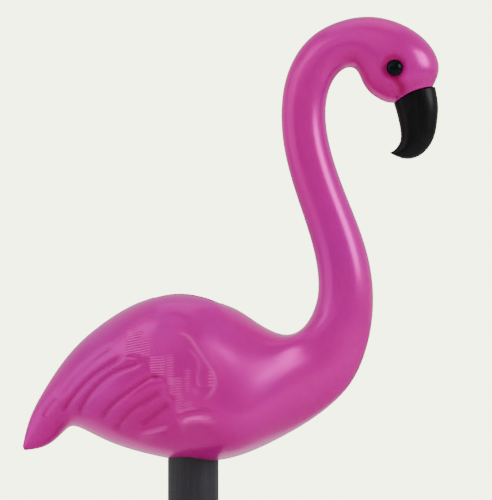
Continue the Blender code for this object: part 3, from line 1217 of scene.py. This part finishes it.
RING_SHADE_EDGE = (1.05, 0.35)  # the same of the painted shade in it
RING_SHADE = 0.65  # how much painted shade darkens the dish, from 0 to 1
GROOVE_SHADE = 0.45  # the same of the painted shade in the wing's grooves
SEAM_DEPTH_MM = 0.10
POCKET_ENDS = ((30.9, 0.3), (47.8, 0.85))  # their u, and how far the back dips to them in mm
DIP_REACH = 3.0  # in units, along the back
DIP_SIDE = 16 * MM  # how far to each side it reaches
SWELLING_AT = (46.9, 14.0)  # u of the swelling beside the panel's front end, and its y in mm
SWELLING_REACH = (3.0, 5.0)  # in units along the back, and in mm to either side
SWELLING_HEIGHT_MM = 0.6
BACK_ABOVE = 25.0  # the w above which a place is on the back


@dataclass(frozen=True)
class Zone:
    """A stretch of the bird with one density of points."""

    end: float  # distance along the loft, in units
    pitch: float  # between rings, in metres
    steps: int  # points on half a ring


ZONES = (
    Zone(8.0, 0.9 * MM, 96),
    Zone(34.5, 0.7 * MM, 192),
    Zone(58.5, 0.85 * MM, 384),
    Zone(62.0, 1.2 * MM, 192),
    Zone(88.0, 1.5 * MM, 96),
    Zone(164.0, 1.5 * MM, 48),
    Zone(math.inf, 0.75 * MM, 96),
)
CROWD_AT = ((0.0, 0.5), (8.0, 1.5), (20.0, 3.0), (56.0, 3.0), (66.0, 0.5), (90.0, 0.0), (200.0, 0.0))


@dataclass
class Bird:
    """The moulded flamingo: body, wings, neck and head in one skin, with its seats."""

    drawing: Drawing
    rim_radius: float = 0.2 * MM
    rim_steps: int = 5
    lining_ahead: float = 0.8  # how far the recess's mouth lies ahead, as a share of that radius
    recess_share: float = 0.88  # of the head's last ring
    recess_depth: float = 1.5 * MM
    socket_sides: int = 96
    socket_below: float = 10 * MM  # how far the socket's cutter hangs below the belly
    sharp: float = math.radians(50)  # edges that turn further than this stay crisp
    arch_reach: float = 5.0  # over how many units the joint's arch fades
    carved_side: tuple[float, float] = (0.1, 0.3)  # how far a face turns aside where carving starts

    def wing_rise(self, u: np.ndarray, w: np.ndarray) -> np.ndarray:
        """How far the wing stands proud of the flank, in metres, at places of the drawing.

        Args:
            u: how far the places are from the tail tip, in units.
            w: how high they are above the belly, in units.

        Returns:
            The distances.
        """
        du, dw = u - WING_CENTRE[0], w - WING_CENTRE[1]
        along = (du * math.cos(WING_SLOPE) + dw * math.sin(WING_SLOPE)) / WING_HALF_LENGTH
        up = (dw * math.cos(WING_SLOPE) - du * math.sin(WING_SLOPE)) / WING_HALF_HEIGHT
        ahead = smooth_step((along - WING_SOFT_AHEAD[0]) / WING_SOFT_AHEAD[1])
        soft = np.maximum(smooth_step(up - WING_SOFT_ABOVE), ahead)
        width = WING_EDGE + (WING_TOP_EDGE - WING_EDGE) * soft
        edge = smooth_step((1 - np.hypot(along, up)) / width)
        return WING_HEIGHT * self.drawing.unit * edge * smooth_step(WING_TAIL_FADE + along)

    def carving(self, u: np.ndarray, w: np.ndarray) -> np.ndarray:
        """The relief of the feathers and the face in millimetres at places of the drawing.

        Args:
            u: how far the places are from the tail tip, in units.
            w: how high they are above the belly, in units.

        Returns:
            The relief, above 0 where it is raised.
        """
        strokes = (*FEATHERS, *FEATHER_TIPS, *WING_LIPS, *WING_CREASES, *BARB_PATCHES, LAST_BARB, LORE)
        relief = sum(stroke.height(u, w, self.drawing) for stroke in strokes)
        return relief - self.dish(u, w)

    def dish(self, u: np.ndarray, w: np.ndarray) -> np.ndarray:
        """The depth in millimetres of the round hollow about the eye."""
        share = np.hypot(u - DISH_AT[0], w - DISH_AT[1]) / DISH_RADIUS
        return DISH_DEPTH_MM * smooth_step((DISH_EDGE[0] - share) / DISH_EDGE[1])

    def back_dip(self, u: np.ndarray, w: np.ndarray, y: np.ndarray) -> np.ndarray:
        """How far the back dips to the ends of the solar panel, less the swelling beside it.

        Args:
            u: how far the places are from the tail tip, in units.
            w: how high they are above the belly, in units.
            y: how far they are from the middle plane, in metres.

        Returns:
            The depths in metres.
        """
        dip = sum(depth * bell(u - end, DIP_REACH) for end, depth in POCKET_ENDS) * MM
        swelling = SWELLING_HEIGHT_MM * MM * bell(u - SWELLING_AT[0], SWELLING_REACH[0])
        swelling = swelling * bell(np.abs(y) / MM - SWELLING_AT[1], SWELLING_REACH[1])
        return np.where(w > BACK_ABOVE, dip * smooth_step(1 - np.abs(y) / DIP_SIDE) - swelling, 0.0)

    def painted_shade(self, u: np.ndarray, w: np.ndarray) -> np.ndarray:
        """How much painted shade darkens places of the drawing, from 0 to 1: in the grooves, the lore and the
        dish about the eye.

        Args:
            u: how far the places are from the tail tip, in units.
            w: how high they are above the belly, in units.

        Returns:
            The share at each place.
        """
        carving_shade = sum(
            np.clip(-groove.height(u, w, self.drawing) / Depth.FULL.value, 0.0, 1.0)
            for groove in (*FEATHERS, *FEATHER_TIPS, *WING_CREASES)
        )
        face = np.clip(-LORE.height(u, w, self.drawing) / Depth.FULL.value, 0.0, 1.0)
        share = np.hypot(u - DISH_AT[0], w - DISH_AT[1]) / DISH_RADIUS
        ring = RING_SHADE * smooth_step((RING_SHADE_EDGE[0] - share) / RING_SHADE_EDGE[1])
        return np.clip(GROOVE_SHADE * carving_shade + face + ring, 0.0, 1.0)

    def painted_highlight(self, u: np.ndarray, w: np.ndarray) -> np.ndarray:
        """The painted highlight on places of the drawing, along raised edges and barbs, from 0 to 1."""
        raised = sum(stroke.painted_highlight(u, w, self.drawing) for stroke in (*BARB_PATCHES, *WING_LIPS, LAST_BARB))
        return np.clip(raised, 0.0, 1.0)

    def zone_rings(self, loft: Loft, places: np.ndarray, steps: int) -> list[np.ndarray]:
        """The carved rings at distances along the loft.

        Args:
            loft: the bird's sections.
            places: the distances, in units.
            steps: how many points lie on half a ring.

        Returns:
            The rings, one array of points each.
        """
        crowds = np.interp(places, *zip(*CROWD_AT))
        spreads = [Spread(steps, crowd) for crowd in crowds]
        halves = np.array([loft.half_ring(place, spread) for place, spread in zip(places, spreads)])
        u, w = self.drawing.places(halves)
        halves[..., 2] -= self.back_dip(u, w, halves[..., 1])
        inner = np.abs(halves[..., 1]) > SEAT_GAP
        halves[..., 1] -= np.where(inner, self.wing_rise(u, w), 0.0)
        for i, place in enumerate(places):
            share = smooth_step(1 - (loft.length - place) / self.arch_reach)
            halves[i] = arched(halves[i], self.drawing, float(share))
        normals = np.cross(np.gradient(halves, axis=0), np.gradient(halves, axis=1))
        normals /= np.linalg.norm(normals, axis=-1, keepdims=True)
        normals *= np.sign(-normals[..., 1].mean())
        sideways = smooth_step((-normals[..., 1] - self.carved_side[0]) / self.carved_side[1])
        relief = self.carving(u, w) * sideways * MM
        relief[:, (0, -1)] = -SEAM_DEPTH_MM * MM
        normals[:, (0, -1), 1] = 0.0
        halves += normals * relief[..., None]
        return [whole_ring(half) for half in halves]

    def rim(self, last: np.ndarray) -> list[np.ndarray]:
        """The rings that round the head's rim and line the recess over the beak's root.

        Args:
            last: the head's last ring.

        Returns:
            The rings, in their order along the form.
        """
        middle, to_tip = joint_axis(self.drawing)
        reach = np.linalg.norm(last - middle, axis=1, keepdims=True)
        inward = (middle - last) / reach
        rings = []
        for step in range(1, self.rim_steps):
            angle = math.pi * step / self.rim_steps
            ahead = math.sin(angle) * self.rim_radius
            rings.append(last + inward * (1 - math.cos(angle)) * self.rim_radius + to_tip * ahead)
        lining = middle + (last - middle) * self.recess_share
        rings.append(lining + to_tip * self.rim_radius * self.lining_ahead)
        rings.append(lining - to_tip * self.recess_depth)
        return rings

    def skin(self) -> bpy.types.Object:
        """The whole skin as one closed mesh, before its seats are cut.

        Returns:
            The skin.
        """
        loft = Loft(BIRD_STATIONS, self.drawing)
        rings: list[np.ndarray] = []
        start = 0.0
        for zone in ZONES:
            end = min(zone.end, loft.length - self.rim_radius / self.drawing.unit)
            count = math.ceil((end - start) * self.drawing.unit / zone.pitch)
            places = np.linspace(start, end, count + 1)[0 if start == 0.0 else 1 :]
            rings += self.zone_rings(loft, places, zone.steps)
            start = end
        rings += self.rim(rings[-1])
        return object_from("flamingo_skin", ring_mesh(rings))

    def seats(self) -> list[bpy.types.Object]:
        """Cutters for the pole's socket, the panel's pocket and the eyes' seats.

        Returns:
            The closed solids.
        """
        low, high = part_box("pole")
        radius = (high.x - low.x) / 2 + SEAT_GAP
        below = self.drawing.belly_z - self.socket_below
        profile = ((0.0, high.z + SEAT_GAP), (radius, high.z + SEAT_GAP), (radius, below), (0.0, below))
        cutters = [turned("socket", profile, self.socket_sides, Matrix.Identity(4))]
        cutters.append(SolarPanel.from_frame().pocket())
        for side in (-1, 1):
            cutters.append(Eye.from_frame(side).seat())
        return cutters

    def build(self) -> bpy.types.Object:
        """Makes the bird, cuts its seats and dresses it.

        Returns:
            The bird.
        """
        bird = self.skin()
        cut(bird, self.seats())
        points = np.zeros(len(bird.data.vertices) * 3, np.float32)
        bird.data.vertices.foreach_get("co", points)
        u, w = self.drawing.places(points.reshape(-1, 3))
        # The painted shade and painted highlight masks, carried on the mesh for the material.
        for name, values in (("painted_shade", self.painted_shade(u, w)), ("painted_highlight", self.painted_highlight(u, w))):
            painted = bird.data.attributes.new(name, "FLOAT", "POINT")
            painted.data.foreach_set("value", values.astype(np.float32))
        bird.data.shade_smooth()
        bird.data.set_sharp_from_angle(angle=self.sharp)
        return settle(bird, PearlPlastic(), ["flamingo"])


@dataclass
class Beak:
    """The black beak, which plugs into the recess under the head's rim."""

    drawing: Drawing
    steps: int = 48
    rings: int = 90
    plug_share: float = 0.82  # of the head's last ring
    plug_height: float = 1.2 * MM
    gap: float = 0.04 * MM
    shoulder: float = 0.10 * MM
    arch_reach: float = 2.5  # over how many units the joint's arch fades
    crowd: float = 0.9  # below 1, the rings lie closer together towards the tip
    sharp: float = math.radians(55)

    def root(self, first: np.ndarray) -> list[np.ndarray]:
        """The rings of the plug and of the shoulder, down to the beak's first ring.

        Args:
            first: the beak's first ring.

        Returns:
            The rings, in their order along the form.
        """
        middle, to_tip = joint_axis(self.drawing)
        plug = middle + (whole_ring(self.head_end()) - middle) * self.plug_share
        reach = np.linalg.norm(first - middle, axis=1, keepdims=True)
        inset = first + (middle - first) / reach * self.shoulder - to_tip * self.shoulder
        return [plug - to_tip * self.plug_height, plug + to_tip * self.gap, inset]

    def head_end(self) -> np.ndarray:
        """Half of the head's last ring."""
        head = Loft(BIRD_STATIONS, self.drawing)
        return arched(head.half_ring(head.length, Spread(self.steps)), self.drawing, 1.0)

    def build(self) -> bpy.types.Object:
        """Makes the beak and dresses it.

        Returns:
            The beak.
        """
        loft = Loft(BEAK_STATIONS, self.drawing)
        to_tip = joint_axis(self.drawing)[1]
        rings = []
        for place in np.linspace(0, 1, self.rings) ** self.crowd * loft.length:
            share = float(smooth_step(1 - place / self.arch_reach))
            half = arched(loft.half_ring(place, Spread(self.steps)), self.drawing, share)
            rings.append(whole_ring(half) + to_tip * (self.gap + self.shoulder) * share)
        rings = self.root(rings[0]) + rings
        beak = object_from("beak_shell", ring_mesh(rings))
        beak.data.set_sharp_from_angle(angle=self.sharp)
        return settle(beak, BlackPlastic(), ["beak"])


@dataclass
class Eye:
    """A bead eye in its seat."""

    side: int
    centre: Vector  # on the eye's axis, at the foot of its stem
    radius: float
    height: float  # from the foot to the crown of the dome
    dome: float = 2.1 * MM
    chamfer: float = 0.2 * MM
    sides: int = 64
    steps: int = 14  # from the crown of the dome to its rim
    sharp: float = math.radians(40)

    @classmethod
    def from_frame(cls, side: int) -> "Eye":
        """The eye on the side of that sign of Y, at the frame's size and place.

        Args:
            side: 1 for the left eye and -1 for the right one.

        Returns:
            The eye.
        """
        low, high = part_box("eye_left" if side > 0 else "eye_right")
        middle = (low + high) / 2
        foot = low.y if side > 0 else high.y
        return cls(side, Vector((middle.x, foot, middle.z)), (high.x - low.x) / 2, high.y - low.y)

    def turn(self) -> Matrix:
        """Puts local Z along Y, away from the bird."""
        return Matrix.Translation(self.centre) @ Matrix.Rotation(-self.side * math.pi / 2, 4, "X")

    def seat(self) -> bpy.types.Object:
        """The cutter of the eye's seat in the head.

        Returns:
            The closed solid.
        """
        radius, top, foot = self.radius + SEAT_GAP / 2, self.height, -SEAT_GAP
        profile = ((0.0, top), (radius, top), (radius, foot), (0.0, foot))
        return turned("seat", profile, self.sides, self.turn())

    def build(self) -> bpy.types.Object:
        """Makes the bead and dresses it.

        Returns:
            The bead.
        """
        word = "left" if self.side > 0 else "right"
        profile = []
        for i in range(self.steps + 1):
            angle = math.pi / 2 * i / self.steps
            rise = self.height - self.dome + self.dome * math.cos(angle)
            profile.append((self.radius * math.sin(angle), rise))
        profile += [(self.radius, self.chamfer), (self.radius - self.chamfer, 0.0), (0.0, 0.0)]
        bead = turned(f"eye_bead_{word}", profile, self.sides, self.turn())
        bead.data.set_sharp_from_angle(angle=self.sharp)
        return settle(bead, BeadGlaze(), [f"eye_{word}"])


@dataclass
class Pole:
    """The straight plastic pole, cut off flat at the ground."""

    radius: float
    top: float
    chamfer: float = 0.4 * MM
    sides: int = 128
    rings: int = 24
    sharp: float = math.radians(30)

    @classmethod
    def from_frame(cls) -> "Pole":
        """The pole at the frame's size."""
        low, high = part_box("pole")
        return cls((high.x - low.x) / 2, high.z)

    def build(self) -> bpy.types.Object:
        """Makes the pole and dresses it.

        Returns:
            The pole.
        """
        length = self.top - self.chamfer
        side = [(self.radius, length - length * i / self.rings) for i in range(self.rings + 1)]
        profile = [(0.0, self.top), (self.radius - self.chamfer, self.top), *side, (0.0, 0.0)]
        pole = turned("pole_tube", profile, self.sides, Matrix.Identity(4))
        pole.data.set_sharp_from_angle(angle=self.sharp)
        return settle(pole, PolePlastic(), ["pole"])


@dataclass
class SolarPanel:
    """The solar panel in the back: a tray, two rows of cells, their silver lines and clear resin."""

    turn: Matrix  # from the panel's own middle, Z square to its face
    size: Vector
    corner: float = 2.5 * MM
    wall: float = 1.0 * MM  # the tray's rim
    resin_depth: float = 0.9 * MM
    rim_edge: float = 0.3 * MM
    margin: float = 0.5 * MM  # between the cells and the tray's rim
    cell_gap: float = 0.5 * MM
    cell_rows: int = 4
    wafer: float = 0.25 * MM  # the cells' thickness
    print_level: float = 0.29 * MM  # of the silver lines' middle above the tray's floor
    bar_size: tuple[float, float] = (0.5 * MM, 0.06 * MM)  # the busbars' width and height
    bar_at: tuple[float, float] = (-0.22, 0.22)  # share of a cell's length
    bar_share: float = 0.96  # of the cell's width
    fingers: int = 9
    finger_size: tuple[float, float] = (0.12 * MM, 0.05 * MM)
    finger_share: float = 0.94  # of the cell's length
    resin_lift: float = 0.36 * MM  # of the resin's foot above the tray's floor
    resin_low: float = 0.42 * MM  # how much thinner it is than the tray is deep
    resin_gap: float = 0.05 * MM  # to the tray's rim
    resin_edge: float = 0.12 * MM

    TILT = math.radians(5.0)
    THICKNESS = 2.5 * MM
    POCKET_HEIGHT = 8 * MM  # how far the pocket's cutter stands over the panel

    @classmethod
    def from_frame(cls) -> "SolarPanel":
        """The panel at the frame's size and place.

        Returns:
            The panel.
        """
        low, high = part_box("solar_panel")
        reach = high - low
        length = (reach.x - cls.THICKNESS * math.sin(cls.TILT)) / math.cos(cls.TILT)
        turn = Matrix.Translation((low + high) / 2) @ Matrix.Rotation(cls.TILT, 4, "Y")
        return cls(turn, Vector((length, reach.y, cls.THICKNESS)))

    def pocket(self) -> bpy.types.Object:
        """The cutter of the panel's pocket in the back.

        Returns:
            The closed solid.
        """
        gap = Vector((2 * SEAT_GAP, 2 * SEAT_GAP, self.POCKET_HEIGHT))
        centre = Vector((0.0, 0.0, gap.z / 2 - SEAT_GAP))
        return rounded_slab("pocket", self.size + gap, centre, self.corner + SEAT_GAP, 0.0, self.turn)

    def tray(self) -> bpy.types.Object:
        """The black tray with its raised rim.

        Returns:
            The tray.
        """
        tray = rounded_slab("panel_tray", self.size, Vector(), self.corner, self.rim_edge, self.turn)
        well = self.size - Vector((2 * self.wall, 2 * self.wall, 0.0))
        lift = Vector((0.0, 0.0, self.size.z - self.resin_depth))
        cutter = rounded_slab("well", well, lift, self.corner - self.wall, 0.0, self.turn)
        cut(tray, [cutter])
        tray.data.shade_smooth()
        tray.data.set_sharp_from_angle(angle=SHARP)
        return settle(tray, TrayPlastic(), ["solar_panel"])

    def strips(self) -> tuple[list[tuple[Vector, Vector]], float]:
        """The cells' sizes and middles, and the level of the tray's floor.

        Returns:
            A size and a middle for each cell, and the level on the panel's own Z.
        """
        floor = self.size.z / 2 - self.resin_depth
        edge = 2 * self.wall + 2 * self.margin
        inside = self.size - Vector((edge, edge, 0.0))
        length = (inside.x - (self.cell_rows - 1) * self.cell_gap) / self.cell_rows
        cells = []
        for i in range(self.cell_rows):
            x = -inside.x / 2 + length / 2 + i * (length + self.cell_gap)
            cells.append((Vector((length, inside.y, self.wafer)), Vector((x, 0.0, floor + self.wafer / 2))))
        return cells, floor

    def silicon(self) -> bpy.types.Object:
        """The cells, as one mesh of thin wafers.

        Returns:
            The cells.
        """
        cells, _ = self.strips()
        corner, edge = 0.3 * MM, 0.05 * MM
        wafers = [rounded_slab(f"wafer_{i}", size, centre, corner, edge, self.turn)
                  for i, (size, centre) in enumerate(cells)]
        return settle(joined("solar_cells", wafers), Silicon())

    def lines(self) -> bpy.types.Object:
        """The silver busbars along the cells and the fine fingers across them.

        Returns:
            The lines, as one mesh.
        """
        cells, floor = self.strips()
        level = floor + self.print_level
        bar_corner, finger_corner = 0.1 * MM, 0.03 * MM
        bars = []
        for i, (size, centre) in enumerate(cells):
            for side in self.bar_at:
                bar = Vector((self.bar_size[0], size.y * self.bar_share, self.bar_size[1]))
                middle = Vector((centre.x + side * size.x, 0.0, level))
                bars.append(rounded_slab(f"bar_{i}", bar, middle, bar_corner, 0.0, self.turn))
            for k in range(self.fingers):
                finger = Vector((size.x * self.finger_share, *self.finger_size))
                y = size.y * ((k + 0.5) / self.fingers - 0.5)
                middle = Vector((centre.x, y, level))
                bars.append(rounded_slab(f"finger_{i}_{k}", finger, middle, finger_corner, 0.0, self.turn))
        return settle(joined("cell_lines", bars), SilverPrint())

    def resin(self) -> bpy.types.Object:
        """The clear resin that fills the tray to its rim.

        Returns:
            The resin.
        """
        _, floor = self.strips()
        height = self.resin_depth - self.resin_low
        edge = 2 * self.wall + 2 * self.resin_gap
        size = Vector((self.size.x - edge, self.size.y - edge, height))
        centre = Vector((0.0, 0.0, floor + self.resin_lift + height / 2))
        corner = self.corner - self.wall
        slab = rounded_slab("clear_cover", size, centre, corner, self.resin_edge, self.turn)
        return settle(slab, ClearResin())

    def build(self) -> list[bpy.types.Object]:
        """Makes the panel's pieces and dresses them."""
        return [self.tray(), self.silicon(), self.lines(), self.resin()]


def joined(name: str, parts: Sequence[bpy.types.Object]) -> bpy.types.Object:
    """One object of all the parts, which are removed.

    Args:
        name: the object's name.
        parts: the objects that it is made of.

    Returns:
        The object.
    """
    mesh = bmesh.new()
    for part in parts:
        mesh.from_mesh(part.data)
        bpy.data.objects.remove(part)
    made = object_from(name, mesh)
    made.data.set_sharp_from_angle(angle=SHARP)
    return made


# Studio and camera


@dataclass(frozen=True)
class SoftLamp:
    """A soft oblong studio lamp that looks at the bird."""

    name: str
    direction: Triple  # from the bird towards the lamp
    distance: float
    width: float
    height: float
    power: float
    colour: Colour = (0.90, 0.92, 1.0)

    def build(self, target: Vector) -> bpy.types.Object:
        """Sets the lamp up, aimed at the target.

        Args:
            target: what the lamp looks at.

        Returns:
            The lamp.
        """
        data = bpy.data.lights.new(self.name, "AREA")
        data.shape = "RECTANGLE"
        data.size = self.width
        data.size_y = self.height
        data.energy = self.power
        data.color = self.colour
        lamp = bpy.data.objects.new(self.name, data)
        away = Vector(self.direction).normalized()
        lamp.location = target + away * self.distance
        lamp.rotation_mode = "QUATERNION"
        lamp.rotation_quaternion = (-away).to_track_quat("-Z", "Y")
        lamp.visible_camera = False
        bpy.context.scene.collection.objects.link(lamp)
        return lamp


LAMPS = (
    SoftLamp("key", (0.81, -0.47, 0.34), 1.2, 0.5, 0.55, 8.2),
    SoftLamp("right_wall", (0.95, -0.20, 0.25), 1.3, 0.7, 0.8, 1.3),
    SoftLamp("front_left", (-0.47, -0.60, 0.65), 1.4, 2.2, 1.5, 6.6),
    SoftLamp("arch_strip", (-0.62, -0.50, 0.60), 1.4, 0.7, 0.5, 1.9),
    SoftLamp("left_wall", (-0.95, -0.25, 0.12), 1.3, 1.0, 1.2, 4.5),
    SoftLamp("overhead", (0.0, 0.1, 1.0), 1.4, 1.2, 1.0, 3.0),
    SoftLamp("bounce", (-0.20, 0.45, -0.86), 0.36, 0.8, 0.4, 0.9),
)


@dataclass
class Studio:
    """A pale floor, soft lamps and an even pale surround."""

    floor_radius: float = 2.2
    backdrop: Colour = (5.42, 6.0, 4.1)
    surround: Colour = (1.0, 1.0, 0.98)
    front_light: float = 0.31  # strength of the surround before the bird
    back_light: float = 0.9  # and behind it
    turning: tuple[float, float] = (-0.4, 0.7)  # the Y, seen from the bird, between which it changes

    def floor(self) -> bpy.types.Object:
        """The round pale floor at the ground.

        Returns:
            The floor.
        """
        mesh = bmesh.new()
        bmesh.ops.create_circle(mesh, cap_ends=True, segments=128, radius=self.floor_radius)
        made = object_from("floor", mesh)
        made.data.materials.append(PaleFloor().material())
        return made

    def sky(self) -> None:
        """The surround: a bright backdrop to the eye, and a softer light on the bird."""
        world = bpy.data.worlds.new("studio")
        bpy.context.scene.world = world
        world.use_nodes = True
        bench = Bench(world.node_tree)
        depth = bench.axis(bench.place("Generated"), "Y").between(*self.turning)
        strength = self.front_light + depth * (self.back_light - self.front_light)
        light = bench.value("ShaderNodeBackground", {}, {"Color": self.surround, "Strength": strength})
        seen = bench.value("ShaderNodeBackground", {}, {"Color": self.backdrop})
        to_eye = bench.value("ShaderNodeLightPath", {}, {}, "Is Camera Ray")
        mixed = bench.value("ShaderNodeMixShader", {}, {0: to_eye, 1: light, 2: seen})
        bench.feed(bench.nodes["World Output"].inputs["Surface"], mixed)

    def build(self, target: Vector) -> None:
        """Sets up the floor, the surround and the lamps.

        Args:
            target: what the lamps look at.
        """
        self.floor()
        self.sky()
        for lamp in LAMPS:
            lamp.build(target)
        LOG.info("studio: %d lamps", len(LAMPS))


@dataclass
class Viewpoint:
    """The camera: straight from the bird's right, with a long lens."""

    drawing: Drawing
    picture: tuple[int, int] = (492, 500)
    pixels_a_unit: float = 4.166
    tail_px: float = 22.0  # where u = 0 lies in the picture
    belly_px: float = 460.8  # where w = 0 lies
    lens: float = 260.0
    sensor: float = 36.0

    def target(self) -> Vector:
        """The point of the middle plane at the picture's middle.

        Returns:
            The point.
        """
        u = (self.picture[0] / 2 - self.tail_px) / self.pixels_a_unit
        w = (self.belly_px - self.picture[1] / 2) / self.pixels_a_unit
        return Vector(self.drawing.point(u, w))

    def build(self) -> bpy.types.Object:
        """Sets the camera up so that the picture's longer side spans its length of the bird.

        Returns:
            The camera.
        """
        data = bpy.data.cameras.new("camera")
        data.lens = self.lens
        data.sensor_width = self.sensor
        across = max(self.picture) / self.pixels_a_unit * self.drawing.unit
        camera = bpy.data.objects.new("camera", data)
        camera.location = self.target() - Vector((0.0, across * self.lens / self.sensor, 0.0))
        camera.rotation_euler = (math.pi / 2, 0.0, 0.0)
        bpy.context.scene.collection.objects.link(camera)
        bpy.context.scene.camera = camera
        return camera


def main() -> None:
    """Builds the camera, the studio and every piece of the light."""
    logging.basicConfig(level=logging.INFO, format="%(name)s: %(message)s")
    drawing = Drawing.from_frame()
    viewpoint = Viewpoint(drawing)
    viewpoint.build()
    Studio().build(viewpoint.target())
    Bird(drawing).build()
    Beak(drawing).build()
    for side in (-1, 1):
        Eye.from_frame(side).build()
    Pole.from_frame().build()
    SolarPanel.from_frame().build()


if __name__ == "__main__":
    main()
